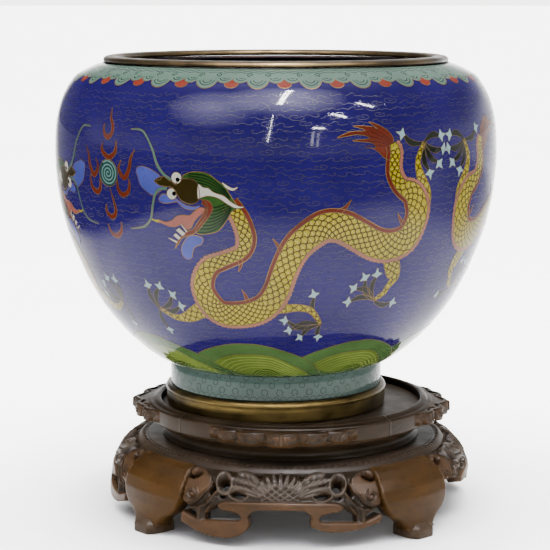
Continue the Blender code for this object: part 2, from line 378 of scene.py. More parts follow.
def make(name, verts, faces, look, body, replaced=(), normals=None, wear=None, turn=None):
    """One piece as a mesh object that rides on a body; turn puts a stand piece at its azimuth."""
    v = np.asarray(verts, float)
    if turn is not None:
        a = math.radians(turn + STAND_TURN)
        c, s = math.cos(a), math.sin(a)
        v = np.column_stack([v[:, 0] * c - v[:, 1] * s + STAND_X, v[:, 0] * s + v[:, 1] * c,
                             v[:, 2]])
    mesh = bpy.data.meshes.new(name)
    mesh.from_pydata((v * MM).tolist(), [], [tuple(int(i) for i in f) for f in faces])
    mesh.polygons.foreach_set("use_smooth", [True] * len(mesh.polygons))
    mesh.materials.append(look)
    if wear is not None:
        # Per-point shares of wear, and of dust with painted highlight.
        for k, shade in enumerate(("wear", "dust_and_highlight")):
            mesh.attributes.new(shade, "FLOAT", "POINT").data.foreach_set(
                "value", np.ascontiguousarray(wear[:, k], np.float32))
    if normals is not None:
        mesh.normals_split_custom_set_from_vertices(np.asarray(normals).tolist())
    obj = bpy.data.objects.new(name, mesh)
    bpy.context.scene.collection.objects.link(obj)
    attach(obj, body)
    if replaced:
        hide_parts(*replaced)


def grid_faces(along, across):
    """Four-sided faces between along + 1 rows of across + 1 points."""
    n = across + 1
    return [(i * n + k, (i + 1) * n + k, (i + 1) * n + k + 1, i * n + k + 1)
            for i in range(along) for k in range(across)]


def rounded(points, radius, steps=3):
    """A closed outline with its corners cut round."""
    p = [np.array(q, float) for q in points]
    out = []
    for i, corner in enumerate(p):
        arms = []
        for other in (p[i - 1], p[(i + 1) % len(p)]):
            arm = other - corner
            size = np.hypot(*arm)
            arms.append(corner + arm * min(radius, 0.45 * size) / size)
        for k in range(steps + 1):
            t = k / steps
            out.append(arms[0] * (1 - t) ** 2 + corner * 2 * t * (1 - t) + arms[1] * t * t)
    return np.array(out)


def revolve(outline, steps=360, closed=True, start=0.0, end=360.0):
    """Verts and faces of an outline of (radius, height) turned round the axis."""
    p = np.asarray(outline, float)
    whole = end - start >= 360.0
    angles = np.radians(np.linspace(start, end, steps + (0 if whole else 1), endpoint=not whole))
    verts = np.concatenate([np.column_stack([p[:, 0] * math.sin(a), -p[:, 0] * math.cos(a),
                                             p[:, 1]]) for a in angles])
    n = len(p)
    faces = []
    for i in range(len(angles) if whole else len(angles) - 1):
        j = (i + 1) % len(angles)
        for k in range(n if closed else n - 1):
            m = (k + 1) % n
            faces.append((i * n + k, i * n + m, j * n + m, j * n + k))
    if not whole:
        faces.append(tuple(range(n)))
        faces.append(tuple(range((len(angles) - 1) * n, len(angles) * n))[::-1])
    return verts, faces


# Flat drawing -----------------------------------------------------------------------------------

def filled(outline, pitch=1.7, curved=True):
    """A closed outline filled with small triangles."""
    edge = smooth(outline, 0.8, closed=True)[:-1] if curved else even(
        np.vstack([outline, outline[:1]]), 0.8)[:-1]
    if np.sum(edge[:, 0] * np.roll(edge[:, 1], -1) - edge[:, 1] * np.roll(edge[:, 0], -1)) < 0:
        edge = edge[::-1]
    low, high = edge.min(axis=0), edge.max(axis=0)
    gx, gy = np.meshgrid(np.arange(low[0] + pitch / 2, high[0], pitch),
                         np.arange(low[1] + pitch / 2, high[1], pitch))
    grid = np.column_stack([gx.ravel(), gy.ravel()])
    if len(grid):
        grid = grid[inside(grid, edge)]
    if len(grid):
        grid = grid[distance(grid, edge, True)[0] > 0.35 * pitch]
    points = np.vstack([edge, grid])
    made = delaunay_2d_cdt([Vector(p) for p in points], [], [list(range(len(edge)))], 1, 1e-6)
    return np.array([v[:] for v in made[0]]), [tuple(f) for f in made[2]], edge


def strip(line, left, right, across=1):
    """A strip along a line between two signed offsets, positive to the line's left."""
    t = headings(line)
    side = np.column_stack([-t[:, 1], t[:, 0]])
    left, right = np.broadcast_to(left, len(line)), np.broadcast_to(right, len(line))
    rows = [line[:, :2] + side * (right + (left - right) * k / across)[:, None]
            for k in range(across + 1)]
    return np.stack(rows, axis=1).reshape(-1, 2), grid_faces(len(line) - 1, across)


WIRE_RISE = 0.012  # wires stand this far above the cells that they border


class Drawing:
    """Flat shapes by colour, that can be laid on a chart again and again."""

    def __init__(self):
        self.shapes = []

    def add(self, colour, lift, xy, faces):
        xy = np.asarray(xy)
        self.shapes.append((colour, lift(xy) if callable(lift) else lift, xy, faces))

    def cell(self, colour, lift, outline, wire=0.42, curved=True):
        """A filled cell with a wire round it."""
        outline = np.array(outline, float)
        xy, faces, edge = filled(outline, curved=curved)
        self.add(colour, lift, xy, faces)
        if wire:
            self.line(np.vstack([edge, edge[:2]]), wire, lift + WIRE_RISE)

    def line(self, points, width, lift, colour="wire"):
        """A line straight from point to point; curl draws it smooth."""
        self.add(colour, lift, *strip(np.asarray(points, float), width / 2, -width / 2))

    def curl(self, points, width, lift, colour="wire", step=0.7):
        self.line(smooth(points, step), width, lift, colour)

    def taper(self, colour, lift, points, wire=0.3, step=1.0):
        """A stroke through (x, y, width) points with wires along both sides."""
        line = smooth(points, step)
        half = line[:, 2] / 2
        self.add(colour, lift, *strip(line, half, -half, 2))
        if wire:
            self.sides(line, half, lift + WIRE_RISE, wire)

    def sides(self, line, half, lift, wire):
        for sign in (-1, 1):
            self.add("wire", lift, *strip(line, sign * half + wire / 2, sign * half - wire / 2))


class Enamelling:
    """Collects laid shapes and makes one object for each colour."""

    def __init__(self):
        self.parts = {}

    def lay(self, drawing, chart, shift=0.0, mirror=False, stretch=1.0):
        sign = -stretch if mirror else stretch
        for colour, lift, xy, faces in drawing.shapes:
            placed = np.column_stack([xy[:, 0] * sign + shift, xy[:, 1]])
            verts, normals = chart.lay(placed, lift - SKIN_DEPTH)
            store = self.parts.setdefault(colour, [[], [], [], 0])
            base = store[3]
            store[0].append(verts)
            store[1].append(normals)
            store[2] += [tuple(i + base for i in (f[::-1] if mirror else f)) for f in faces]
            store[3] += len(verts)

    def build(self, prefix, looks):
        for colour, (verts, normals, faces, _) in self.parts.items():
            make(prefix + colour, np.vstack(verts), faces, looks[colour], "vase",
                 normals=np.vstack(normals))


# The dragons ------------------------------------------------------------------------------------

# What lies over what, as heights above the ground. Cells that meet differ by a hair.
SCROLL_LIFT = 0.018
TOE_LIFT = 0.058
LEG_LIFT = 0.066
PEARL_LIFT = 0.07
THORN_LIFT = 0.08
FRINGE_LIFT = 0.084
NAIL_LIFT = 0.086
BODY_LIFT = 0.088
TUFT_LINE_LIFT = 0.094
BODY_WIRE_LIFT = 0.102
HEAD_LIFT = 0.032  # added to every shape of the head

SCALE = 3.9  # how wide a scale is, about
# Points are (x, y, width) where a stroke changes its width, and (x, y) elsewhere.
BODY = [
    (-25, 125, 5.5), (-21, 119, 6.6), (-18, 112, 7), (-17, 105, 7), (-20, 98.5, 6), (-30, 94, 6.5),
    (-38, 90.5, 8), (-43, 84, 9.5), (-45, 76, 11.5), (-42, 66.5, 14), (-36, 61, 14),
    (-27, 60, 14), (-15, 62, 14), (-6, 67, 13.5), (0, 76, 13), (4, 88, 12.5), (9, 99, 13),
    (15, 106, 13.5), (25, 112.5, 14), (35, 112, 14), (45, 107, 14), (55, 101.8, 14.5),
    (65, 100, 15), (75, 103, 15), (80, 112, 13.5), (80.5, 120, 13), (76, 128, 11),
    (68, 132.5, 7), (63.8, 139, 6.5), (63.5, 145, 6), (64, 150, 6), (62.5, 154.5, 4.5)]
THORNS = [
    [(32, 120, 3), (36, 122.5, 1.8), (39, 126.5, 0.3)],
    [(73, 111, 3), (69.5, 114, 1.8), (67, 118, 0.3)],
    [(2.5, 99, 3), (0.5, 102.5, 1.8), (-2.5, 106.5, 0.3)],
    [(-18, 69, 3), (-19, 73, 1.8), (-21, 77, 0.3)],
    [(-21, 95.5, 3), (-20.5, 91.5, 1.8), (-22, 87.5, 0.3)]]
TUFT = [
    (59.5, 146), (52, 151.5), (46, 153), (52, 152.5), (50, 155), (39, 156.5), (49, 157.5),
    (42, 159.5), (31, 158), (38, 161), (47, 161.5), (40, 164), (50, 163.5), (54, 162), (49, 166),
    (56, 163.5), (61, 160), (63, 156), (62, 150)]
LEGS = [  # each with the tips of its toes
    ([(-44, 64, 12), (-50, 62, 10), (-58, 58, 8), (-65, 56, 5), (-72, 56.5, 3.5), (-81, 61, 2)],
     [(-84, 75.5), (-75, 75.5), (-67, 71), (-63, 64), (-80.5, 46)]),
    ([(-4, 67, 8), (3, 65, 6), (12, 65.5, 4.5), (20, 64, 4), (25, 59.5, 3), (29, 54, 2)],
     [(22, 73.5), (5, 57), (8, 50), (16, 44.5), (29, 44.5)]),
    ([(66, 96, 11), (68, 91, 10), (71, 85, 9.5), (73, 81, 6), (70, 76, 4), (68, 72, 3.5),
      (62, 68, 2)],
     [(60, 84), (52.5, 82.5), (46.5, 76.5), (44.5, 68), (77.5, 65)]),
    ([(84, 121, 10), (84, 128, 9), (80, 138, 5), (78.5, 144, 3.5), (80, 149, 3), (83, 154, 2)],
     [(68.5, 159), (96, 157), (97.5, 150), (94, 142.5), (87, 138)])]
HEAD = [
    ("green", 0.072, [
        (-50, 137), (-47, 140), (-42, 140.8), (-36, 139.8), (-31, 136.5), (-27, 133.5),
        (-25, 130), (-22.5, 126), (-21, 123), (-24, 120.5), (-26, 117), (-29, 113), (-32, 110),
        (-37, 108.5), (-42, 108), (-44.5, 109.5), (-42, 113), (-38, 118), (-37, 124), (-42, 128)]),
    ("red", 0.080, [
        (-39, 126.5), (-35.5, 125.5), (-34, 122), (-36, 118), (-39.5, 114), (-43, 110),
        (-47, 107.5), (-52, 106), (-56, 101.5), (-58, 99.5), (-55, 104.5), (-50, 109),
        (-46, 110.5), (-42.5, 115), (-39, 119.5), (-38, 122.5), (-40, 124.5)]),
    ("tongue", 0.088, [
        (-38.5, 122), (-41, 122.5), (-44, 120.5), (-47, 118), (-51, 118), (-55, 117),
        (-58, 114.8), (-62, 113.8), (-66, 114.7), (-68, 113.5), (-65, 113), (-60, 111.5),
        (-56, 111.5), (-52, 113), (-50, 110.5), (-47, 111), (-45, 114.5), (-42, 117.5),
        (-39.5, 119.5)]),
    ("blue", 0.084, [
        (-78.5, 140.5), (-75, 142.3), (-70, 141.3), (-65, 139), (-62.5, 136.5), (-66, 135),
        (-64, 133), (-61, 132.5), (-64, 129.5), (-68, 127.5), (-72, 129), (-76, 132),
        (-77.5, 136)]),
    ("blue", 0.084, [
        (-65, 125.3), (-63, 128), (-60, 128.5), (-57, 127), (-54, 126), (-54, 125),
        (-57, 124.3), (-62, 123.7)]),
    ("blue", 0.084, [
        (-54, 96), (-54, 100), (-51.5, 104), (-48, 107), (-43, 107), (-40.5, 105.5),
        (-42, 102.5), (-45.5, 101), (-47.5, 98), (-48.5, 94.5), (-51.5, 93.5)]),
    ("olive", 0.092, [
        (-67, 135), (-64, 137), (-60, 137.5), (-57, 135.5), (-54, 133.5), (-53, 136),
        (-48, 137), (-43, 136), (-41, 131), (-41.5, 126), (-46, 124), (-51, 125.5),
        (-54, 129), (-56, 132), (-60, 132.5), (-64, 133)]),
    ("white", 0.104, [
        (-42, 127), (-42, 133), (-41, 134.5), (-39, 133), (-36, 132.5), (-33, 130.4),
        (-28, 128.8), (-24, 125.7), (-20, 123.7), (-17.5, 123.5), (-18, 122.7), (-22, 122.5),
        (-26, 124.5), (-31, 127.5), (-36, 128.5), (-40, 127.5)])]
HEAD_STROKES = [
    ("white", 0.104, 0.3, [(-28.5, 135.5, 0.6), (-26, 133.3, 1.5), (-23, 132.2, 1.3),
                           (-20.5, 133.3, 0.5)]),
    ("blue", 0.098, 0.3, [(-55, 126.5, 0.8), (-50, 122.7, 1.8), (-45, 121.8, 1.6),
                          (-41, 123, 0.8)]),
    ("yellow", 0.102, 0, [(-66, 114.1, 1.2), (-68.5, 114, 1), (-71, 115.2, 0.4)])]
TEETH = [
    [(-56, 109.5), (-54, 111), (-50.5, 108), (-52.5, 106.5)],
    [(-53, 113), (-52.3, 113), (-49, 109), (-50, 108.6)],
    [(-58, 106.5), (-56.5, 108), (-53.5, 105.5), (-55, 104.3)],
    [(-61.5, 104.9), (-61, 105.2), (-55.8, 103.4), (-56.6, 102.4)]]
EYES = [  # middle, radius and middle of the pupil
    ((-53.7, 137.2), 3.0, (-53.0, 136.3)), ((-56.8, 128.8), 2.9, (-55.4, 129.0))]
WHISKERS = [
    [(-57, 136, 1.6), (-62, 139.5, 1.5), (-65.5, 144.5, 1.4), (-68, 151, 1.2), (-72, 157.5, 1.1),
     (-76, 160.8, 1), (-83, 161, 0.6)],
    [(-59.5, 131.5, 1.5), (-64, 131, 1.4), (-67, 128, 1.3), (-69, 122, 1.2), (-71, 115, 1.1),
     (-75, 111, 1), (-79, 109.5, 0.9), (-86, 108.5, 0.5)]]


NAIL_RADII = (4.2, 1.6, 3.8, 1.7, 2.2, 1.7, 3.8, 1.6)  # of its corners, from the tip round


def circle(x, y, radius, count=14, start=0.0, sweep=360.0):
    a = np.radians(np.linspace(start, start + sweep, count, endpoint=sweep < 360.0))
    return np.column_stack([x + radius * np.cos(a), y + radius * np.sin(a)])


def scaled_skin(d, points, lift):
    """A yellow strip with a net of rounded scales that follows its width."""
    line = smooth(points, 0.9)
    half = line[:, 2] / 2
    d.add("yellow", lift, *strip(line, half, -half, 8))
    s, t = run_along(line), headings(line)

    def at(along, aside):
        x, y = (np.interp(along, s, line[:, k]) for k in (0, 1))
        tx, ty = (np.interp(along, s, t[:, k]) for k in (0, 1))
        return np.column_stack([x - ty * aside, y + tx * aside])

    turn = np.linspace(0, math.pi, 8)
    place, row = 0.4, 0
    while place < s[-1] - 0.6:
        wide = float(np.interp(place, s, half)) * 2
        size = wide / max(round(wide / SCALE), 1)
        for k in range(-5, 6):
            middle = (k + 0.5 * (row % 2)) * size
            if abs(middle) > wide / 2 + 0.1 * size:
                continue
            aside = middle + size / 2 * np.cos(turn)
            along = np.clip(place + 0.78 * size * np.sin(turn), 0, s[-1])
            keep = np.abs(aside) <= wide / 2
            if keep.sum() > 2:
                d.line(at(along[keep], aside[keep]), 0.62, lift + 0.01, "ochre")
            if abs(middle) < wide / 2 - 0.3 * size:
                shine = np.linspace(0.3, math.pi - 0.3, 5)
                d.line(at(np.clip(place - 0.05 * size + 0.3 * size * np.sin(shine), 0, s[-1]),
                          middle + 0.26 * size * np.cos(shine)), 0.5, lift + 0.006, "shine")
        place += 0.68 * size
        row += 1
    return line, half, s


def claw(d, wrist, tips):
    """Dark tapering toes from the wrist, each ending in a pale three-pointed nail."""
    a = np.array(wrist[:2], float)
    for i, tip in enumerate(tips):
        b = np.array(tip, float)
        reach = b - a
        size = np.hypot(*reach)
        ahead = reach / size
        side = np.array([-ahead[1], ahead[0]])
        bow = side * size * (0.16 if i < 2 else -0.14)
        near, middle = a + reach * 0.25 + bow * 0.7, a + reach * 0.6 + bow
        d.taper("toe", TOE_LIFT + 0.002 * i, [
            (*a, 1.1), (*near, 2.2), (*middle, 3.2), (*(b - ahead), 1.2)], 0.2)
        star = []
        for k, radius in enumerate(NAIL_RADII):
            turn = k * math.pi / 4
            star.append(b + radius * (ahead * math.cos(turn) + side * math.sin(turn)))
        d.cell("tip", NAIL_LIFT, star, 0.22, curved=False)


def dragon():
    """A dragon that runs to the left, its head turned to the pearl."""
    d = Drawing()
    for points, tips in LEGS:
        claw(d, points[-1], tips)
        line, half, _ = scaled_skin(d, points, LEG_LIFT)
        d.sides(line, half, LEG_LIFT + WIRE_RISE, 0.5)
    line, half, s = scaled_skin(d, BODY, BODY_LIFT)
    d.add("red", FRINGE_LIFT, *strip(line, half + 2.2, half - 0.2, 2))
    teeth = 1.5 + 0.9 * np.abs(((s / 2.2) % 1.0) * 2 - 1)
    d.add("pink", FRINGE_LIFT, *strip(line, -half + 0.2, -half - teeth, 2))
    for low, high in ((half + 0.2, half - 0.2), (half + 2.4, half + 2.0),
                      (-half + 0.2, -half - 0.2), (-half - teeth + 0.15, -half - teeth - 0.15)):
        d.add("wire", BODY_WIRE_LIFT, *strip(line, low, high))
    for points in THORNS:
        d.taper("red", THORN_LIFT, points)
    d.cell("red", THORN_LIFT, TUFT, 0.3)
    for k in range(5):
        d.curl([(61.5, 152 + k), (55, 153.5 + 1.7 * k), (47 + k, 153.5 + 2.5 * k)], 0.4,
               TUFT_LINE_LIFT, "tuft_line")
    for colour, lift, outline in HEAD:
        d.cell(colour, lift + HEAD_LIFT, outline)
    for k in range(6):
        d.curl([(-47, 139.8 - 1.2 * k), (-37, 138.6 - 1.5 * k), (-29.5, 133.9 - 1.1 * k),
                (-24.5, 128.6 - 0.8 * k)], 0.75, 0.076 + HEAD_LIFT, "deep_green")
    for k in range(8):
        d.curl([(-43.5 + 1.1 * k, 109 + 1.9 * k), (-37 + 0.7 * k, 109.4 + 1.9 * k),
                (-31 + 0.5 * k, 112.4 + 1.7 * k), (-25.5 + 0.4 * k, 118 + 1.1 * k)], 0.75,
               0.076 + HEAD_LIFT, "deep_green")
    for colour, lift, wire, points in HEAD_STROKES:
        d.taper(colour, lift + HEAD_LIFT, points, wire)
    for tooth in TEETH:
        d.cell("white", 0.104 + HEAD_LIFT, tooth, 0.25, curved=False)
    for centre, radius, pupil in EYES:
        d.cell("white", 0.104 + HEAD_LIFT, circle(*centre, radius), 0.4)
        d.cell("black", 0.118 + HEAD_LIFT, circle(*pupil, 1.25), 0, curved=False)
    for points in WHISKERS:
        d.taper("whisker", 0.104 + HEAD_LIFT, points, 0.25)
    return d


PEARL_Y = 137.2
FLAME_WIDTH = 0.85
FLAMES = [  # from the pearl's middle
    [(-4.4, 16, 0.6), (-4.8, 11.8, 2.4), (0.6, 8.3, 3.2), (5.6, 11.5, 2.4), (6.2, 17.5, 0.5)],
    [(-4.2, 26, 0.5), (-4, 21.5, 1.9), (-0.8, 18.7, 3), (2.5, 21, 2.4), (2.6, 25, 2.2),
     (0.4, 29, 1.6), (-0.5, 34.5, 0.4)],
    [(1, -8, 0.5), (2.6, -14, 1.4), (3.7, -20, 2.3), (0, -23.5, 3.2), (-4, -21, 2.2),
     (-3.5, -16.5, 0.5)],
    [(-4.7, -27.5, 0.6), (-3.6, -32, 1.9), (1, -34, 3.1), (5.6, -30.5, 2.2), (6.6, -25.5, 0.5)]]
SIDE_FLAMES = [
    [(7, -2.5, 0.6), (7.2, -8, 2.4), (10.3, -10.8, 3.2), (14.6, -8.5, 2.6), (15.6, -4, 1.4),
     (15, -1.5, 0.5)],
    [(10.2, 7.5, 0.5), (8.3, 3, 1.8), (12, -1.8, 3.2), (15.6, 3, 2.6), (17, 9, 1.7),
     (19.6, 13.5, 0.4)]]


def pearl():
    """A pearl with a spiral on it, among flames."""
    d = Drawing()
    d.cell("pearl", PEARL_LIFT, circle(0, PEARL_Y, 7.2, 20), 0.5)
    turn = np.linspace(0.3, 6.7 * math.pi, 90)
    radius = 0.25 + 6.3 * turn / turn[-1]
    spiral = np.column_stack([radius * np.cos(turn), PEARL_Y + radius * np.sin(turn)])
    d.line(spiral, 0.85, PEARL_LIFT + WIRE_RISE, "spiral")
    for points in FLAMES + SIDE_FLAMES + [flipped(f, -1) for f in SIDE_FLAMES]:
        d.taper("red", PEARL_LIFT, [(a, PEARL_Y + b, w * FLAME_WIDTH) for a, b, w in points])
    return d


# Waves, border and cloud scrolls ----------------------------------------------------------------

WAVES = 9
WAVE_TOP = [(-72, 0.2), (-66, 9), (-58, 17), (-47, 25), (-36, 31), (-23, 35.6), (-11, 38.3),
            (0, 39), (12, 38), (27, 33.4), (46, 25), (62, 12.5), (73, 0.2)]
WAVE_INNER = [(-34, 17.5), (-24, 24.5), (-12, 28.4), (0, 29.5), (12, 29), (22, 26.6), (37, 18.4),
              (52, 8.4), (60, 0.3)]


def wave():
    """One hill of the sea; its right side stands a hair higher than its left neighbour's."""
    def level(extra):
        return lambda xy: 0.03 + extra + 0.0005 * (xy[:, 0] + 72)

    d = Drawing()
    d.cell("wave_dark", level(0.0), WAVE_TOP, 0)
    d.curl(WAVE_TOP, 0.5, level(0.01))
    inner = np.array(WAVE_INNER, float)
    d.cell("wave_light", level(0.008), WAVE_INNER + [(30, 0.3), (0, 0.3), (-12, 2), (-24, 9)], 0)
    d.curl(WAVE_INNER, 0.5, level(0.018))
    middle = np.array([16.0, -4.0])
    for k in range(1, 6):
        line = middle + (inner - middle) * (1 - 0.078 * k)
        d.curl(line[line[:, 1] > 0.2], 0.6, level(0.016), "wave_pale")
    for k in range(5):
        d.curl(circle(12, 0.3, 3.5 + 2.6 * k, 9, 4, 172), 0.7, level(0.016), "wave_line")
    return d


SCALLOPS = 26
EDGE_LIFT, EDGE_WIRE_LIFT = 0.08, 0.094


def lower_edge(x):
    """Lower edge of one scallop of the border at x from its middle."""
    y = np.full_like(x, 195.0)
    for centre, level, radius in ((0.0, 191.0, 6.5), (-10.4, 193.2, 4.8), (10.4, 193.2, 4.8)):
        inner = np.clip(radius ** 2 - (x - centre) ** 2, 0, None)
        y = np.where(inner > 0, np.minimum(y, level - np.sqrt(inner)), y)
    return y


def border(width):
    """One scallop of the border with its curls, and the coral drop on its right."""
    d = Drawing()

    def trace(points):
        d.curl(points, 0.5, EDGE_WIRE_LIFT, "border_line")

    steps, rows = 60, 14
    x = np.linspace(-width / 2, width / 2, steps + 1)
    low = lower_edge(x)
    xy = np.stack([np.column_stack([x, low + (RIM_Y - low) * k / rows])
                   for k in range(rows + 1)], axis=1).reshape(-1, 2)
    d.add("border", EDGE_LIFT, xy, grid_faces(steps, rows))
    d.line(np.column_stack([x, low]), 0.5, EDGE_WIRE_LIFT)
    for shrink in (1.9, 3.7):
        trace(circle(0, 191.4, 6.5 - shrink, 11, 190, 160))
        for side in (-1, 1):
            trace(circle(10.2 * side, 193.6, max(4.9 - shrink, 0.9), 9, 195, 150))
    for side in (-1, 1):
        turn = np.linspace(0, 2.6 * math.pi, 16)
        radius = 2.1 - 1.6 * turn / turn[-1]
        d.line(np.column_stack([side * (5.2 + radius * np.sin(turn)),
                                196.4 - radius * np.cos(turn)]),
               0.5, EDGE_WIRE_LIFT, "border_line")
        for rise in (0.0, 2.2):
            d.curl([(0, 198.4 + rise), (side * 4, 199.4 + rise), (side * 8, 198.2 + rise),
                    (side * 11.6, 199.4 + rise), (side * 15.1, 198.4 + rise)], 0.45,
                   EDGE_WIRE_LIFT, "border_line")
    half = [(3.4, 186.2), (3.9, 189), (1.8, 192.4)]
    drop = [(0, 197)] + mirrored(half) + [(0, 184.9)] + half
    d.cell("coral", 0.06, [(a + width / 2, b) for a, b in drop], 0.4)
    return d


SCROLLS = (
    [(-5.6, 0.2), (-3.6, 0.9), (-1.2, 0.1), (1.2, -0.6), (3.0, -0.1), (3.6, 0.8), (2.8, 1.4),
     (2.0, 1.0)],
    [(-6.4, 0.0), (-4.4, 0.8), (-2.4, -0.3), (-0.4, -0.4), (1.6, 0.4), (3.6, 0.2), (5.4, -0.5),
     (6.6, 0.1)],
    [(-1.6, 0.1), (-2.9, 0.9), (-4.0, 0.0), (-2.6, -1.0), (0.0, -1.3), (2.6, -0.9), (3.7, 0.1),
     (2.4, 1.1), (0.2, 1.3), (-0.9, 0.5), (-0.2, -0.2), (0.9, 0.1)],
    [(-6.2, -0.4), (-3.8, 0.2), (-2.2, 1.3), (0.0, 1.2), (0.6, 0.3), (-0.4, -0.2), (2.0, -0.8),
     (5.8, -0.2)])
SCROLL_ROWS, SCROLL_COLUMNS = 46, 84
SCROLL_START, SCROLL_PITCH = 13.5, 3.7  # height of the first row, and from row to row
SCROLL_SEED = 7


def cloud_scrolls():
    """Small loose curls of wire in staggered rows over the whole ground."""
    d = Drawing()
    dice = random.Random(SCROLL_SEED)
    for row in range(SCROLL_ROWS):
        y = SCROLL_START + row * SCROLL_PITCH
        for k in range(SCROLL_COLUMNS):
            x = (k + 0.5 * (row % 2)) * ROUND / SCROLL_COLUMNS + dice.uniform(-1.3, 1.3)
            size = dice.uniform(0.75, 1.05)
            side = dice.choice((-1, 1))
            rise = dice.uniform(-0.8, 0.8)
            shape = dice.choice(SCROLLS)
            d.curl([(x + side * a * size, y + rise + b * size) for a, b in shape], 0.22,
                   SCROLL_LIFT, "scroll", 1.1)
    return d


def foot_drawing(round_length):
    """Wire rings and a row of arches on the turquoise foot."""
    d = Drawing()

    def ring(x, y, radius, count, start, sweep):
        d.curl(circle(x, y, radius, count, start, sweep), 0.36, 0.05, "ring", 0.6)

    cells = 92
    pitch = round_length / cells
    for k in range(cells):
        x = k * pitch
        ring(x, 0.3, 1.9, 7, 0, 180)
        if k % 2 == 0:
            ring(x + pitch / 2, 4.6, 1.7, 11, -60, 330)
            ring(x, 12.9, 1.7, 7, 180, 180)
        else:
            ring(x + pitch / 2, 8.6, 1.5, 11, 100, 330)
    return d


# Vase -------------------------------------------------------------------------------------------

def inset(depth):
    """The bowl's outline moved inwards, as radius and height above the floor."""
    return np.column_stack([BOWL.r - BOWL.nr * depth, BOWL.h - BOWL.nh * depth])


def raised(points):
    """An outline given above the vase's foot, as radius and height above the floor."""
    return np.array([(r, h + JAR_BASE) for r, h in points], float)


def turned(name, outline, look, body, replaced, turn=None, film=None):
    """A turned piece; film is its even wear and dust."""
    verts, faces = revolve(outline)
    wear = None if film is None else np.tile(film, (len(verts), 1))
    make(name, verts, faces, look, body, replaced, turn=turn, wear=wear)


DRAGONS, PEARLS = 4, 2
DRAGON_STRETCH = 0.987  # of the drawing's length round the bowl
FOOT_R = 60.9


def vase():
    coat = np.vstack([inset(SKIN_DEPTH), inset(1.2)[::-1]])
    turned("glaze_ground", coat, COBALT, "vase", ["enamel_coat"])
    sheet = np.vstack([
        raised([(0.6, 26.1), (60.9, 26.1), (60.9, 27.6)]), inset(1.5)[3:-2],
        raised([(96.9, 193.9), (96.4, 195.2), (89.3, 195.2), (89.3, 193.4), (95.2, 193.4)]),
        inset(3.2)[4:-4][::-1], raised([(58.0, 28.0), (0.6, 28.0)])])
    turned("inside_copper", sheet, COPPER, "vase", ["copper_bowl"])
    rim = raised([(93.6, 199.0), (96.2, 198.5), (97.2, 197.4), (97.2, 195.5), (88.7, 195.5),
                  (88.7, 198.1), (90.4, 198.9)])
    turned("rim_brass", rounded(rim, 1.1), BRASS_RIM, "vase", ["rim_ring"])
    ring = raised([(61.4, 12.0), (62.8, 11.2), (63.7, 9.8), (63.2, 8.0), (63.0, 1.2), (62.4, 0.0),
                   (58.4, 0.0), (57.5, 1.0), (57.5, 12.0)])
    turned("foot_brass", rounded(ring, 0.9), BRASS_FOOT, "vase", ["foot_ring"])
    band = raised([(60.7, 12.3), (60.7, 22.0), (60.4, 25.7), (57.5, 25.7), (57.5, 12.3)])
    turned("foot_enamel", rounded(band, 0.25), FOOT_BLUE, "vase", ["foot_band"])
    disc = raised([(0.6, 25.7), (57.0, 25.7), (57.0, 24.6), (0.6, 24.6)])
    turned("base_enamel_disc", rounded(disc, 0.3), FOOT_BLUE, "vase",
           ["base_enamel"])
    decorate()


def decorate():
    """Lays the drawings on the bowl and its foot."""
    work = Enamelling()
    work.lay(cloud_scrolls(), BOWL)
    hill = wave()
    for k in range(WAVES):
        work.lay(hill, BOWL, -22 + k * ROUND / WAVES)
    scallop = ROUND / SCALLOPS
    edging = border(scallop)
    for k in range(SCALLOPS):
        work.lay(edging, BOWL, 4.8 + (k + 0.5) * scallop)
    beast, ball = dragon(), pearl()
    for k in range(DRAGONS):
        work.lay(beast, BOWL, 0.75 + k * ROUND / DRAGONS, k % 2 == 1, DRAGON_STRETCH)
    for k in range(PEARLS):
        work.lay(ball, BOWL, -97.4 + k * ROUND / PEARLS)
    looks = {**LOOKS, "wire": WIRE, "scroll": SCROLL_WIRE}
    work.build("cell_", looks)
    foot = Enamelling()
    wall = np.array([(FOOT_R, 12.4), (FOOT_R, 22.0), (60.6, 25.6)])
    foot.lay(foot_drawing(FOOT_R * 2 * math.pi), Chart(even(wall, 0.4), JAR_BASE, FOOT_R))
    foot.build("foot_", {"ring": RING_WIRE})


# Carving ----------------------------------------------------------------------------------------

APRON_THICK, LEG_THICK, EAR_THICK, EAR_FRONT_THICK = 6.5, 9.5, 6.6, 2.0
CARVED = 1.7  # the skirt's outside is drawn this far inside the CAD's, so that relief fits in it
SKIRT_LIMIT = 0.99  # sine of the furthest a board is followed round
APRON_OUT = [(105.6, 2.0), (105.1, 10.0), (104.4, 17.0), (103.2, 23.5), (101.6, 28.0),
             (98.7, 32.4), (95.0, 36.4), (90.6, 38.6)]
LEG_OUT = [(107.4, 2.0), (106.4, 10.0), (106.2, 16.0), (105.6, 22.0), (103.6, 28.0),
           (99.9, 32.8), (95.6, 36.6), (90.6, 38.6)]


def oval(x, z, wide, high, lean=0.0):
    a = np.linspace(0, 2 * math.pi, 18, endpoint=False)
    u, v = wide * np.cos(a), high * np.sin(a)
    return np.column_stack([x + u * math.cos(lean) - v * math.sin(lean),
                            z + u * math.sin(lean) + v * math.cos(lean)])


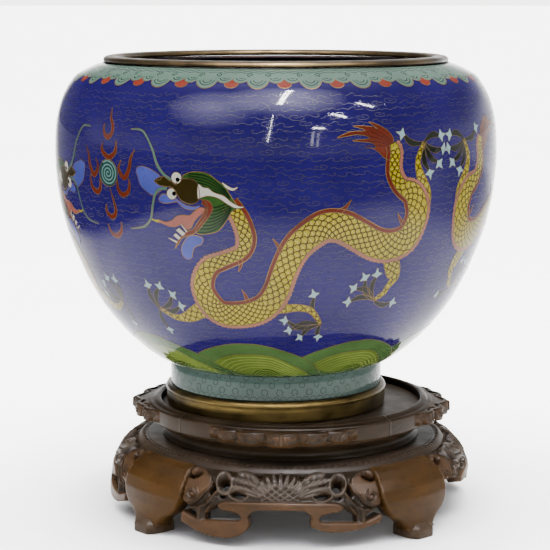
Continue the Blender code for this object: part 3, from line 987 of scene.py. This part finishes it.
class Block:
    """A curved board seen from outside, cut to an outline and carved as a height field."""

    def __init__(self, outlines, holes, pitch=0.45):
        loops = [smooth(o, 0.8, closed=True)[:-1] for o in outlines]
        corners = np.vstack(loops)
        low, high = corners.min(axis=0) - pitch, corners.max(axis=0) + pitch
        gx, gz = np.meshgrid(np.arange(low[0], high[0] + pitch, pitch),
                             np.arange(low[1], high[1] + pitch, pitch), indexing="ij")
        self.shape = gx.shape
        self.at = np.column_stack([gx.ravel(), gz.ravel()])
        self.pitch = pitch
        self.edge = np.full(len(self.at), 1e9)
        for loop in loops:
            self.edge = np.minimum(self.edge, self.signed(loop))
        for hole in holes:
            self.edge = np.maximum(self.edge, -self.signed(np.asarray(hole, float)))
        self.depth = np.zeros(len(self.at))
        self.wear = np.zeros(len(self.at))
        # Share of pale grey: dust, or a painted highlight on raised carving.
        self.dust_and_highlight = np.zeros(len(self.at))

    def near(self, line, reach):
        """Which grid points lie in the box round a line."""
        low, high = line.min(axis=0) - reach, line.max(axis=0) + reach
        return ((self.at > low) & (self.at < high)).all(axis=1)

    def signed(self, loop, reach=4.0):
        """Distance to a loop, negative inside it; only measured near it."""
        near = self.near(loop, reach)
        at = self.at[near]
        gap = distance(at, loop, True)[0]
        out = np.full(len(self.at), reach)
        out[near] = np.where(inside(at, loop), -gap, gap)
        return out

    def stroke(self, points, width, height, taper=0.0):
        """A raised (or, below nothing, sunk) rounded stroke along a smooth line."""
        line = smooth(points, 0.8)
        near = self.near(line, width)
        gap, along = distance(self.at[near], line[:, :2])
        half = width / 2 * (1 - taper * np.abs(2 * along - 1) ** 2)
        dome = np.clip(1 - (gap / np.maximum(half, 0.05)) ** 2, 0, 1) ** 0.5
        if height > 0:
            self.depth[near] = np.maximum(self.depth[near], height * dome)
        else:
            self.depth[near] += height * dome

    def field(self, loop, height, round_edge=1.2):
        """A raised flat field with rounded sides."""
        edge = self.signed(smooth(loop, 0.8, closed=True)[:-1])
        self.depth = np.maximum(self.depth, height * np.clip(-edge / round_edge, 0, 1) ** 0.6)
        return edge

    def soften(self, reach=1.1, drop=0.9):
        """Rounds the cut edges over."""
        t = np.clip(1 + self.edge / reach, 0, 1)
        self.depth -= drop * (1 - np.sqrt(np.clip(1 - t * t, 0, 1)))

    def mesh(self, surface, thick):
        """Front, back and sides of the board on a curved surface (x, z, depth) -> place."""
        n, m = self.shape
        keep = self.edge < 0.35 * self.pitch
        index = np.arange(n * m).reshape(n, m)
        quads = np.stack([index[:-1, :-1], index[1:, :-1], index[1:, 1:], index[:-1, 1:]],
                         axis=-1).reshape(-1, 4)
        quads = quads[keep[quads].all(axis=1)]
        # Vertices beside the cut are drawn onto it, so the sawn edge is smooth.
        field = self.edge.reshape(n, m)
        slope = np.stack(np.gradient(field, self.pitch), axis=-1).reshape(-1, 2)
        slope /= np.maximum(np.hypot(*slope.T), 0.3)[:, None]
        edges = np.sort(np.vstack([quads[:, [0, 1]], quads[:, [1, 2]], quads[:, [2, 3]],
                                   quads[:, [3, 0]]]), axis=1)
        unique, counts = np.unique(edges, axis=0, return_counts=True)
        rim = np.zeros(n * m, bool)
        rim[unique[counts == 1].ravel()] = True
        at = self.at.copy()
        move = np.clip(self.edge, -0.75 * self.pitch, 0.75 * self.pitch)[:, None] * slope
        at[rim] -= move[rim]
        used = np.unique(quads)
        number = np.full(n * m, -1)
        number[used] = np.arange(len(used))
        front = surface(at[used, 0], at[used, 1], self.depth[used])
        back = surface(at[used, 0], at[used, 1], np.full(len(used), -thick))
        count = len(used)
        q = number[quads]
        faces = [tuple(f) for f in q] + [tuple(f[::-1] + count) for f in q]
        border = {}
        for f in q:
            for a, b in zip(f, np.roll(f, -1)):
                border[(a, b)] = border.get((a, b), 0) + 1
        for a, b in border:
            if (b, a) not in border:
                faces.append((b, a, a + count, b + count))
        shades = np.column_stack([self.wear[used], self.dust_and_highlight[used]])
        return np.vstack([front, back]), faces, np.vstack([shades, np.zeros((count, 2))])


def skirt(profile):
    """Places (x along the skirt, z, depth out) on a turned profile, facing -Y."""
    line = np.array(profile, float)
    slope = np.gradient(line[:, 0], line[:, 1])

    def place(x, z, depth):
        r = np.interp(z, line[:, 1], line[:, 0])
        tilt = np.interp(z, line[:, 1], slope)
        size = np.sqrt(1 + tilt * tilt)
        a = np.arcsin(np.clip(x / r, -SKIRT_LIMIT, SKIRT_LIMIT))
        rise = (depth - CARVED) / size
        out = r + rise
        return np.column_stack([out * np.sin(a), -out * np.cos(a), z - rise * tilt])

    return place


def cut_to(block, profile, half_angle):
    """Keeps the block inside its joints, half_angle to each side."""
    line = np.array(profile, float)
    r = np.interp(block.at[:, 1], line[:, 1], line[:, 0])
    angle = np.arcsin(np.clip(block.at[:, 0] / r, -SKIRT_LIMIT, SKIRT_LIMIT))
    over = np.abs(angle) - math.radians(half_angle)
    block.edge = np.maximum(block.edge, over * r)


def spiral(x, z, radius, turns, side, start):
    t = np.linspace(0, 1, 26)
    a = start + turns * 2 * math.pi * t
    r = radius * (1 - 0.78 * t)
    return np.column_stack([x + side * r * np.cos(a), z + r * np.sin(a)])


RAIL_FIELD = [(0, 25.9), (24, 25.2), (31, 24.4), (34.5, 21.5), (32, 19.4), (26, 18.6), (21.8, 17.2),
              (23, 15), (34, 14.2), (44, 13.6), (51, 15.4), (57.5, 18.2), (58.5, 12.6), (51, 8.4),
              (43, 5), (33, 3.6), (24, 4.4), (17.5, 8), (15, 13), (15.6, 17), (14, 18.6), (10, 20),
              (0, 20)]
LOBE_FIELD = [(62, 38.6), (50, 38.4), (42.5, 37.6), (37.8, 36), (36.9, 33), (38.6, 30),
              (41.6, 27.4), (43.8, 24.6), (46.6, 22.2), (50.5, 20.8), (55, 21.4), (62, 22)]
TUFT_OUTLINE = [(33, 25.5), (35.5, 21.8), (38.5, 18.8), (41.2, 16.6), (41.8, 12.4), (46.6, 12.4),
                (46.8, 16.4), (49.4, 18.6), (52.4, 20.6), (54, 24), (50, 27), (42, 28), (35, 28)]
LEAVES = [
    [(9, 28), (15, 29.5), (20, 31), (25.5, 31.8)], [(10, 30.5), (16, 33.5), (21, 35), (26.5, 35.6)],
    [(10, 33), (14.5, 36), (18.5, 37.6), (23, 37.8)]]
VEINS = [
    [(12, 31.5), (18, 32.6), (23.5, 33.6)], [(12, 34), (16, 36), (20.5, 36.8)],
    [(12.5, 28.2), (17, 29.6), (22, 30.4)]]
CLOUD_STROKES = [  # width, height, taper, points: the lip, the hook over it, then three stems
    (1.5, 2.3, 0.0, [(36.9, 33), (38.6, 30), (41.6, 27.4), (43.8, 24.6), (46.6, 22.2),
                     (50.5, 20.9)]),
    (1.3, 2.4, 0.0, [(38, 35), (41, 37.2), (46, 37.6), (50.6, 35.8), (51.4, 33.4)]),
    (2.4, 1.9, 0.5, [(33, 31), (36, 27), (40, 22.5), (44, 20), (49, 19)]),
    (1.8, 1.5, 0.4, [(35, 26), (38, 21.5), (41, 17.5)]),
    (2.8, 2.0, 0.0, [(44.2, 12.6), (44.4, 16), (44, 20)])]


def apron_edge(lift):
    """Lower edge of an apron's right half; without a lift the scroll has snapped off."""
    lobe = [(58, 26.6), (50, 25.6), (43, 25.2), (37, 24.4), (34.6, 22.4), (32, 19.6)]
    if lift is None:
        return lobe + [(28, 19.2), (25, 20), (21.4, 18.8), (18.6, 19.4), (15.4, 20.6), (10.5, 21)]
    upper = [(26, 18.9), (21.6, 17.2), (23, 14.9), (34, 14), (44, 13.4), (51, 15.4), (58, 18.2)]
    foot = [(58, 12.6), (51, 8.9), (43, 5.9), (33, 4.6), (25, 5.6), (19.4, 8.6)]
    foot = [(x, z + lift * (1 - (z - 4.6) / 12)) for x, z in foot]
    return lobe + upper + foot + [(16.6, 13), (17.2, 17), (15.2, 19.6), (10.5, 21)]


CANE_PITCH = 2.9  # of the basket's weave
APRON_HOLES = [  # x, z, half width, half height, lean
    (30.4, 33.0, 2.7, 3.1, 0.0), (22.6, 28.2, 4.0, 1.5, 0.1), (36.9, 29.6, 1.3, 3.6, 0.35),
    (46.4, 35.2, 4.2, 1.5, -0.35), (12.0, 37.9, 2.4, 0.7, 0.0), (31.5, 26.9, 1.6, 1.0, 0.0)]


def ring_line(x, z, wide, high):
    """An oval's points as a line that overlaps its own start."""
    loop = oval(x, z, wide, high)
    return np.vstack([loop, loop[:2]])


def carve_cloud(b, side):
    """The cloud head beside a leg, with its spiral, rolled rings, stems and cuts."""
    def roll(width, height, taper, points):
        b.stroke(flipped(points, side), width, height, taper)

    lip, hook, *stems = CLOUD_STROKES
    roll(*lip)
    for radius, turns, width, height in ((3.9, 1.35, 1.1, 2.6), (2.9, 1.25, 0.9, -1.2)):
        b.stroke(spiral(48.4 * side, 26.3, radius, turns, side, 2.2), width, height)
    roll(*hook)
    b.stroke(ring_line(30.4 * side, 33.0, 4.3, 4.6), 2.0, 2.3)
    b.stroke(ring_line(22.6 * side, 28.2, 5.2, 2.6), 1.3, 1.3)
    for stem in stems:
        roll(*stem)
    for k in range(4):
        roll(0.6, -0.7, 0.0, [(36 + 3.4 * k, 24.4 - 1.2 * k), (39.4 + 3.2 * k, 20.8 - 0.5 * k)])


def carve_leaves(b, side):
    for points in LEAVES:
        b.stroke(flipped(points, side), 4.0, 2.1, taper=0.55)
    for points in VEINS:
        b.stroke(flipped(points, side), 0.8, -1.1)
    for k in range(5):
        b.stroke(flipped([(11.5 + 2.8 * k, 33.4 + 0.3 * k), (14.4 + 2.6 * k, 36.6 - 0.2 * k)],
                         side), 0.6, -0.7)


def apron(name, azimuth, near, far):
    """A pierced apron: basket of petals, leaves and clouds over a rail that ends in two scrolls.

    near and far say how high each scroll hangs, or None for one that has snapped off.
    """
    right, left = apron_edge(far), mirrored(apron_edge(near))
    top = [(x, 39.0) for x in (-58.0, -30.0, 0.0, 30.0, 58.0)]
    outlines, holes = [top + right + left], []
    for side, lift in ((-1, near), (1, far)):
        holes += [oval(x * side, z, wide, high, lean * side)
                  for x, z, wide, high, lean in APRON_HOLES]
        if lift is not None:
            outlines.append(flipped(TUFT_OUTLINE, side))
    b = Block(outlines, holes)
    cut_to(b, APRON_OUT, APRON_HALF)
    rail = b.field(RAIL_FIELD[::-1] + mirrored(RAIL_FIELD[1:-1])[::-1], 1.7)
    flat = np.clip(-rail / 0.8, 0, 1)
    for side in (-1, 1):
        lobe = b.field(flipped(LOBE_FIELD, side), 1.8)
        flat = np.maximum(flat, np.clip(-lobe / 0.8, 0, 1))
        carve_cloud(b, side)
        carve_leaves(b, side)
    for k in range(9):
        a = math.radians(22 + 17 * k)
        c, s = math.cos(a), math.sin(a)
        b.stroke([(7.0 * c, 28.4 + 3.4 * s), (10.6 * c, 28.4 + 6.6 * s),
                  (13.2 * c, 28.6 + 9.4 * s)], 3.1, 2.3, taper=0.35)
        b.stroke([(8.6 * c, 28.4 + 4.8 * s), (12.0 * c, 28.5 + 8.4 * s)], 0.7, -1.0)
    basket = (np.abs(b.at[:, 0]) / 10.5) ** 2 + ((b.at[:, 1] - 26.2) / 6.6) ** 2
    woven = np.clip((1 - basket) * 3, 0, 1) * (rail > 0)
    u, v = b.at[:, 0] * 0.62 + b.at[:, 1], b.at[:, 0] * 0.62 - b.at[:, 1]
    cane = np.maximum(np.cos(u * 2 * math.pi / CANE_PITCH), np.cos(v * 2 * math.pi / CANE_PITCH))
    b.depth = np.where(woven > 0, np.maximum(0.5, 0.7 + 0.9 * cane), b.depth)
    b.wear = 0.9 * flat * (b.depth < 2.0)
    # Painted highlight, partly dust: the carving turns paler grey the higher it stands.
    carved = (1 - flat) * (np.abs(b.at[:, 0]) < 34)
    b.dust_and_highlight = np.clip(0.75 * carved * np.clip(b.depth - 0.6, 0, 1), 0, 1)
    b.soften()
    verts, faces, wear = b.mesh(skirt(APRON_OUT), APRON_THICK)
    make("carved_" + name, verts, faces, DARK_WOOD, "stand", [name], wear=wear,
         turn=azimuth)


def leg(name, azimuth):
    """A shield-faced leg on its squared toe."""
    half = [(24.8, 38.9), (24.6, 33), (23.9, 24), (22.3, 18.2), (19, 13.8), (14.4, 11.2),
            (11, 8.6), (9.4, 5.8), (9.0, 4.4)]
    b = Block([half + mirrored(half)], [], 0.5)
    cut_to(b, LEG_OUT, LEG_HALF)
    b.depth[:] = CARVED
    for side in (-1, 1):
        b.stroke([(side * 24.4, 31), (side * 21.6, 34.4), (side * 20.6, 37.6)], 1.4, CARVED + 0.6)
        b.stroke([(side * 19.4, 35.4), (side * 16.4, 37.2), (side * 12.4, 38.2)], 0.9, -0.35)
        b.stroke([(side * 20.6, 13.9), (side * 14.8, 10.6), (side * 11.2, 7.8), (side * 9.4, 4.8)],
                 1.6, CARVED + 0.3)
    b.depth += 0.5 * np.exp(-((b.at[:, 1] - 7.0) / 4.5) ** 2) * (1 - (b.at[:, 0] / 16) ** 2)
    b.wear = 0.55 + 0.45 * np.exp(-((b.at[:, 0] / 15) ** 2 + ((b.at[:, 1] - 27) / 12) ** 2))
    b.soften(1.3, 1.0)
    verts, faces, wear = b.mesh(skirt(LEG_OUT), LEG_THICK)
    toe, toe_faces = toe_block()
    faces = faces + [tuple(i + len(verts) for i in f) for f in toe_faces]
    wear = np.vstack([wear, np.tile([0.05, 0.4], (len(toe), 1))])
    make("carved_" + name, np.vstack([verts, toe]), faces, WORN_WOOD, "stand",
         [name], wear=wear, turn=azimuth)


def toe_block():
    """The squared toe: a chamfered six-sided pad, its top edge sloped back to the leg."""
    sections = []
    for z, grow in ((0.0, -0.7), (0.5, 0.0), (4.8, 0.0), (5.8, -0.35), (6.9, -1.6), (8.6, -5.0),
                    (9.4, -6.8)):
        front, side, back = 110.4 + grow, 8.0 + 0.45 * max(grow, -2.5), 92.6 - 0.2 * grow
        right = [(side - 2.6, -front), (side, -(front - 4.2)), (side, -back)]
        ring = mirrored(right) + right
        flat = rounded(ring, 0.7, 2)
        sections.append(np.column_stack([flat, np.full(len(flat), z)]))
    n = len(sections[0])
    faces = [(k * n + i, k * n + (i + 1) % n, (k + 1) * n + (i + 1) % n, (k + 1) * n + i)
             for k in range(len(sections) - 1) for i in range(n)]
    faces.append(tuple(range(n))[::-1])
    faces.append(tuple(range((len(sections) - 1) * n, len(sections) * n)))
    return np.vstack(sections), faces


# Tray rail with its cloud ears --------------------------------------------------------------------

RAIL_R = 82.0  # the plain rail's radius
RAIL_HALF = 44.99  # degrees, a hair short of the joint
EAR_FRONT_R = 91.0  # about the ear's own, to lay its front's drawing round it
EAR_LOBES = [(0.0, 92.0), (11.5, 90.4), (20.0, 88.2), (27.2, 85.6)]
RAIL = [(76.6, 61.9), (78.4, 61.4), (79.4, 60.5), (81.4, 60.3), (82.2, 59.6), (82.2, 51.8),
        (81.2, 50.6), (71.5, 50.6), (71.5, 54.6), (74.9, 54.6), (74.9, 61.2), (75.6, 61.8)]


def ear_radius(angle):
    """Radius of the ear's lobed edge at an angle from its middle, in degrees."""
    best = np.full_like(np.asarray(angle, float), RAIL_R)
    for middle, radius in EAR_LOBES:
        for side in (-1, 1):
            best = np.maximum(best, radius - 0.115 * (angle - side * middle) ** 2)
    return RAIL_R + (best - RAIL_R) * np.clip((31.0 - np.abs(angle)) / 7.0, 0, 1) ** 0.7


def on_circle(angle, radius):
    """Places seen from above, at an angle from the ear's middle in radians."""
    return np.column_stack([radius * np.sin(angle), -radius * np.cos(angle)])


EAR_GROOVES = ((12, 21, 87.6), (21, 29, 84.6), (2, 11, 89.4))  # from and to, degrees; radius
EAR_CURLS = ((40.2, 56.4, 1.9), (31, 55.2, 1.9), (20, 55.0, 1.8), (9.5, 55.2, 1.7))
EAR_PETALS = [
    [(43.6, 58.4), (38, 58.3), (35, 56.6), (33, 53.6)],
    [(35, 58.3), (28, 57.8), (25, 56), (24, 53.6)],
    [(26, 58.4), (17, 58), (14.6, 56), (13, 53.6)],
    [(15, 58.3), (7, 58), (4, 56.4), (3, 53.8)]]


def ear_top():
    """The ear seen from above: lobed edge, comma-shaped openings, a top that slopes outwards."""
    angles = np.linspace(-30.5, 30.5, 160)
    edge = on_circle(np.radians(angles), ear_radius(angles) - 0.9)
    inner = on_circle(np.radians(np.linspace(30, -30, 60)), 80.6)
    holes = []
    for side in (-1, 1):
        for angle, radius, wide, high in ((16.5, 84.6, 5.0, 1.9), (8.6, 85.6, 1.5, 1.1)):
            t = math.radians(angle * side)
            holes.append(oval(radius * math.sin(t), -radius * math.cos(t), wide, high, t))
    b = Block([edge[::4]], holes, 0.5)
    b.edge = b.signed(np.vstack([edge, inner]))
    for hole in holes:
        b.edge = np.maximum(b.edge, -b.signed(hole))
    for side in (-1, 1):
        for start, end, radius in EAR_GROOVES:
            b.stroke(on_circle(np.radians(side * np.linspace(start, end, 5)), radius), 0.8, -0.5)
    b.soften(1.4, 1.0)
    b.wear = 0.25 + 0.4 * np.clip((np.hypot(*b.at.T) - 86) / 5, 0, 1)

    def top(x, y, depth):
        fall = 0.11 * np.clip(np.hypot(x, y) - RAIL_R, 0, None)
        return np.column_stack([x, y, 59.5 + depth - fall])

    return b.mesh(top, EAR_THICK)


def ear_front():
    """The ear's carved front: curls and petals."""
    outline = [(-43.5, 59.4), (-30, 59.4), (0, 59.4), (30, 59.4), (43.5, 59.4), (44.6, 57.6),
               (41.5, 56), (38, 54.2), (32, 53), (27, 54), (23, 53.4), (17, 52.8), (11, 53.7),
               (5.5, 53.1), (0, 52.6)]
    f = Block([outline + flipped(outline[-2:4:-1], -1)], [])
    f.depth[:] = 0.25
    for side in (-1, 1):
        for x, z, size in EAR_CURLS:
            f.stroke(spiral(x * side, z, size, 1.2, side, 0.6), 0.8, 0.85)
        for points in EAR_PETALS:
            f.stroke(flipped(points, side), 1.9, 0.85, taper=0.45)
            f.stroke([(side * (x - 1.6), z - 0.3) for x, z in points], 0.6, -0.6)
    f.stroke([(0, 54), (0, 58.3)], 2.2, 1.6)
    f.wear = 0.7 * np.clip(f.depth - 0.4, 0, 1)
    # Painted highlight, partly dust: the higher relief is a little paler grey.
    f.dust_and_highlight = 0.25 * np.clip(f.depth - 0.7, 0, 1)
    f.soften(0.9, 0.7)

    def front(x, z, depth):
        t = np.arcsin(np.clip(x / EAR_FRONT_R, -SKIRT_LIMIT, SKIRT_LIMIT))
        r = ear_radius(np.degrees(t)) - 1.2 + depth - 0.05 * (z - 56)
        return np.column_stack([r * np.sin(t), -r * np.cos(t), z])

    return f.mesh(front, EAR_FRONT_THICK)


def rail(name, azimuth):
    """A quarter of the tray's rail with its ear."""
    verts, faces = revolve(rounded(RAIL, 0.5), 120, True, -RAIL_HALF, RAIL_HALF)
    wear = np.tile([0.1, 0.0], (len(verts), 1))
    for more, more_faces, more_wear in (ear_top(), ear_front()):
        faces += [tuple(i + len(verts) for i in f) for f in more_faces]
        verts, wear = np.vstack([verts, more]), np.vstack([wear, more_wear])
    make("carved_" + name, verts, faces, DARK_WOOD, "stand", [name], wear=wear,
         turn=azimuth)


def shoulder():
    """Turned shoulder with a string of small beads cut in its groove."""
    ring = rounded([(84.0, 40.4), (84.6, 40.5), (85.6, 40.5), (87.4, 39.2), (88.8, 37.5),
                    (89.2, 35.8), (88.9, 33.8), (87.8, 32.7), (62.0, 32.7), (62.0, 40.3),
                    (82.6, 40.3), (83.2, 39.7)], 0.5)
    beads, steps = 148, 8
    verts, faces = revolve(ring, beads * steps)
    a = np.arctan2(verts[:, 0], -verts[:, 1])
    r = np.hypot(verts[:, 0], verts[:, 1])
    near = np.exp(-((r - 85.0) / 0.9) ** 2) * (verts[:, 2] > 38)
    verts[:, 2] -= 0.9 * near * (1 - np.abs(np.cos(a * beads / 2)) ** 0.7)
    make("shoulder_beaded", verts, faces, DARK_WOOD, "stand", ["shoulder_ring"],
         wear=np.column_stack([0.1 + 0.1 * near, 0.2 + 0.15 * near]), turn=0)


# Stand ------------------------------------------------------------------------------------------

SIDES = (("front", 0), ("right", 90), ("back", 180), ("left", -90))
CORNERS = (("front_left", -45), ("front_right", 45), ("back_right", 135), ("back_left", -135))
# How high each apron's two scrolls hang: they differ, as hand work does.
SCROLL_ENDS = {
    "front": (0.0, 4.0), "right": (None, 1.0), "back": (1.0, 1.0), "left": (2.0, 2.0)}


def stand():
    panel = np.array([(0.6, 58.2), (74.4, 58.2), (74.4, 54.9), (0.6, 54.9)])
    turned("tray_board", rounded(panel, 0.3), DARK_WOOD, "stand", ["tray_panel"],
           turn=0, film=(0.1, 0.4))
    neck = np.array([(78.0, 50.3), (78.0, 49.2), (74.6, 47.6), (72.2, 45.4), (71.8, 43.2),
                     (73.8, 41.2), (74.2, 40.6), (64.0, 40.6), (64.0, 50.3)])
    turned("waist_turned", rounded(neck, 1.4), DARK_WOOD, "stand", ["waist_ring"],
           turn=0)
    shoulder()
    for name, azimuth in SIDES:
        rail("tray_rail_" + name, azimuth)
        apron("apron_" + name, azimuth, *SCROLL_ENDS[name])
    for name, azimuth in CORNERS:
        leg("leg_" + name, azimuth)


# Room -------------------------------------------------------------------------------------------

CAMERA = Vector((-0.0005, -1.055, 0.295))
CAMERA_TILT = 8.81  # degrees below level
LENS, SENSOR = 121.42, 36.0
AWAY = 1.6  # from the bowl to the lamps that it mirrors
GLINT_TARGET = Vector((0.0, -0.12, 0.22))
HAZE = (0.88, 0.86, 1.0)  # colour of the soft ones
SKY_STRENGTH, SKY_SEEN = 5.0, 4.6  # for light and reflections, and to the camera
PAPER_GLOW = 1.6
SHEEN = 3.0  # how much brighter the paper in front is in reflections


class Studio(Look):
    """A look of the room, which is darker beside the backdrop than the camera sees it."""

    def ray(self, kind):
        return self.node("ShaderNodeLightPath").outputs[f"Is {kind} Ray"]

    def wings(self, slope, behind):
        """Share of light kept beside the backdrop: less to the left, a little less to the right.

        Only reflections and bounced light meet it: a view from any side sees a plain studio.
        """
        left = self.spread(slope, 0.92, 0.0, -0.4, -0.15)
        right = self.spread(slope, 0.0, 0.3, 0.15, 0.6)
        lost = self.sum("MULTIPLY", self.sum("ADD", left, right), behind)
        unseen = self.sum("SUBTRACT", 1.0, self.ray("Camera"))
        return self.sum("SUBTRACT", 1.0, self.sum("MULTIPLY", lost, unseen))


class Sky(Studio):
    """The world's light, made with the same nodes."""

    def __init__(self, name):
        world = bpy.data.worlds.new(name)
        world.use_nodes = True
        self.tree = world.node_tree
        self.shader = self.tree.nodes["Background"]
        self.where = self.node("ShaderNodeTexCoord").outputs["Generated"]
        bpy.context.scene.world = world


def paper_light(look, x, y, away):
    """Share of the paper's light, which is shaded under the stand.

    In reflections it is a bright sheet that ends in front and at the sides, as on the photo's bowl.
    """
    wings = look.wings(look.sum("DIVIDE", x, look.sum("SUBTRACT", y, CAMERA.y)),
                       look.spread(y, 0.0, 0.95, 0.0, 0.5))
    # Painted shadow: the paper's colour and glow drop to half within 0.07 m of the middle, under
    # the stand, and rise to full at 0.13 m.
    light = look.sum("MULTIPLY", wings, look.spread(away, 0.5, 1.0, 0.07, 0.13))
    sheet = look.sum("MULTIPLY", look.spread(x, 0.0, 1.0, -0.5, -0.42),
                     look.spread(x, 1.0, 0.35, 0.42, 0.6))
    sheet = look.sum("MAXIMUM", sheet, look.spread(y, 0.0, 1.0, 0.6, 1.3))
    for edge in (look.spread(y, 0.0, 1.0, -0.55, -0.34), look.spread(y, SHEEN, 0.9, -0.2, 0.12)):
        sheet = look.sum("MULTIPLY", sheet, edge)
    change = look.sum("MULTIPLY", look.ray("Glossy"), look.sum("SUBTRACT", sheet, 1.0))
    return look.sum("MULTIPLY", light, look.sum("ADD", change, 1.0))


def floor():
    look = Studio("paper_floor")
    x, y, _ = look.split()
    length = look.node("ShaderNodeVectorMath", operation="LENGTH")
    look.wire(look.where, length.inputs[0])
    away = length.outputs["Value"]
    light = paper_light(look, x, y, away)
    tone = look.ramp(look.noise(3.0, 3.0), [(0.3, (0.74, 0.735, 0.72)), (0.7, (0.78, 0.775, 0.76))])
    shown = look.sum("MULTIPLY", look.ray("Glossy"), look.spread(away, 0.0, 1.0, 0.1, 0.17))
    glow = look.ramp(look.sum("MAXIMUM", shown, look.spread(away, 0.0, 1.0, 0.11, 0.3)),
                     [(0.0, BLACK), (1.0, (1.0, 0.99, 0.975))])
    # The paper's colour and its glow both take this share, its painted shadow included.
    dimmed = []
    for colour in (tone, glow):
        made = look.node("ShaderNodeVectorMath", operation="SCALE")
        look.wire(colour, made.inputs[0])
        look.wire(light, made.inputs["Scale"])
        dimmed.append(made.outputs["Vector"])
    rough = look.spread(look.noise(40.0, 2.0), 0.55, 0.7)
    look.finish(dimmed[0], rough, **{"Emission Strength": PAPER_GLOW})
    look.wire(dimmed[1], look.shader.inputs["Emission Color"])
    verts, faces = revolve([(0.0005, 0.0), (2.0, 0.0), (8.0, 0.0), (30.0, 0.0)], 48, False)
    mesh = bpy.data.meshes.new("floor")
    mesh.from_pydata(verts.tolist(), [], faces)
    mesh.materials.append(look.material)
    obj = bpy.data.objects.new("floor", mesh)
    bpy.context.scene.collection.objects.link(obj)


def lamp(name, place, target, size, power, colour=WHITE):
    """A rectangular lamp that faces its target."""
    data = bpy.data.lights.new(name, "AREA")
    data.shape = "RECTANGLE"
    data.size, data.size_y = size
    data.energy = power
    data.color = colour
    obj = bpy.data.objects.new(name, data)
    obj.location = place
    obj.rotation_euler = (Vector(target) - Vector(place)).to_track_quat("-Z", "Y").to_euler()
    bpy.context.scene.collection.objects.link(obj)
    return obj


def glint(name, start, end, wide, bright, soft=False):
    """A lamp put where the glaze shows it to the camera as a streak between two chart points.

    A soft one fades from its middle to nothing at its edge.
    """
    def seen(x, y):
        place, normal = (Vector(v[0]) for v in BOWL.lay(np.array([[x, y]], float), 0.0))
        place *= MM
        view = (place - CAMERA).normalized()
        return place + (view - 2 * view.dot(normal) * normal) * AWAY

    start, end = np.array(start, float), np.array(end, float)
    middle, along = (start + end) / 2, (end - start) / np.hypot(*(end - start))
    side = np.array([-along[1], along[0]]) * wide / 2
    centre = seen(*middle)
    facing = (centre - GLINT_TARGET).normalized()
    length = seen(*end) - seen(*start)
    across = seen(*(middle + side)) - seen(*(middle - side))
    x_axis = (length - facing * length.dot(facing)).normalized()
    y_axis = facing.cross(x_axis)
    size = (length.length, abs(across.dot(y_axis)))
    power = bright * math.pi * size[0] * size[1]
    if soft:
        round_size = max(size)
        half = math.atan(round_size / 2 / AWAY)
        size = (round_size, round_size)
        power = bright * math.pi * math.pi / 4 * round_size ** 2 * (1 - half / math.tan(half))
    obj = lamp(name, centre, GLINT_TARGET, size, power, HAZE if soft else WHITE)
    if soft:
        obj.data.shape = "DISK"
        obj.data.spread = 2 * half
    obj.rotation_euler = Matrix((x_axis, y_axis, facing)).transposed().to_euler()
    obj.visible_diffuse = False


GLINTS = [  # name, start and end on the bowl's chart, width, brightness, soft
    ("window", (1.6, 176.4), (7.8, 184.2), 2.6, 1500, False),
    ("window_haze", (-16, 176), (28, 180), 18, 110, True),
    ("haze", (-62, 174), (-2, 174), 15, 72, True),
    ("strip_a", (43.8, 176.2), (53.2, 173.6), 0.8, 1300, False),
    ("strip_b", (28.9, 170.6), (37.0, 168.6), 0.9, 1300, False),
    ("strip_c", (18.8, 163.4), (25.2, 163.0), 0.6, 1300, False),
    ("smear_a", (19.2, 162), (18.2, 155), 1.4, 100, False),
    ("smear_b", (21.8, 161), (21.0, 154.5), 1.2, 80, False),
    ("upright", (-1.6, 170), (-4.4, 155.5), 0.3, 1300, False)]


def sky():
    """A pale world: dimmer above the horizon, bright overhead."""
    look = Sky("studio")
    x, y, z = look.split()
    shade = look.ramp(look.spread(z, 0.0, 1.0, -1.0, 1.0), [
        (0.0, (0.98, 0.975, 0.96)), (0.54, (0.98, 0.975, 0.96)), (0.6, (0.4, 0.4, 0.4)),
        (0.68, (0.15, 0.15, 0.16)), (0.88, (0.3, 0.3, 0.31)), (0.96, (1.2, 1.2, 1.3)),
        (1.0, (2.6, 2.6, 2.8))])
    wings = look.wings(look.sum("DIVIDE", x, look.sum("MAXIMUM", y, 0.05)),
                       look.spread(y, 0.0, 1.0, 0.1, 0.45))
    look.wire(shade, look.shader.inputs["Color"])
    seen = look.spread(look.ray("Camera"), SKY_STRENGTH, SKY_SEEN, 0.0, 1.0)
    look.wire(look.sum("MULTIPLY", wings, seen), look.shader.inputs["Strength"])


def room():
    """Floor, world, soft lamps, the lamps that the bowl mirrors, and the camera."""
    floor()
    sky()
    sun = bpy.data.lights.new("sky_light", "SUN")
    sun.energy = 15.0
    sun.angle = math.radians(90)
    above = bpy.data.objects.new("sky_light", sun)
    above.rotation_euler = (math.radians(-20), math.radians(-8), 0)
    above.visible_glossy = False
    bpy.context.scene.collection.objects.link(above)
    target = (0, 0, 0.12)
    lamp("soft_left", (-2.0, 0.9, 0.9), target, (0.9, 1.2), 3).visible_glossy = False
    lamp("soft_right", (2.1, 0.7, 0.9), target, (0.8, 1.2), 14).visible_glossy = False
    for row in GLINTS:
        glint(*row)
    data = bpy.data.cameras.new("photo_camera")
    data.lens, data.sensor_width = LENS, SENSOR
    camera = bpy.data.objects.new("photo_camera", data)
    camera.location = CAMERA
    camera.rotation_euler = (math.radians(90 - CAMERA_TILT), 0, 0)
    bpy.context.scene.collection.objects.link(camera)
    bpy.context.scene.camera = camera


vase()
stand()
room()

bpy.context.view_layer.update()
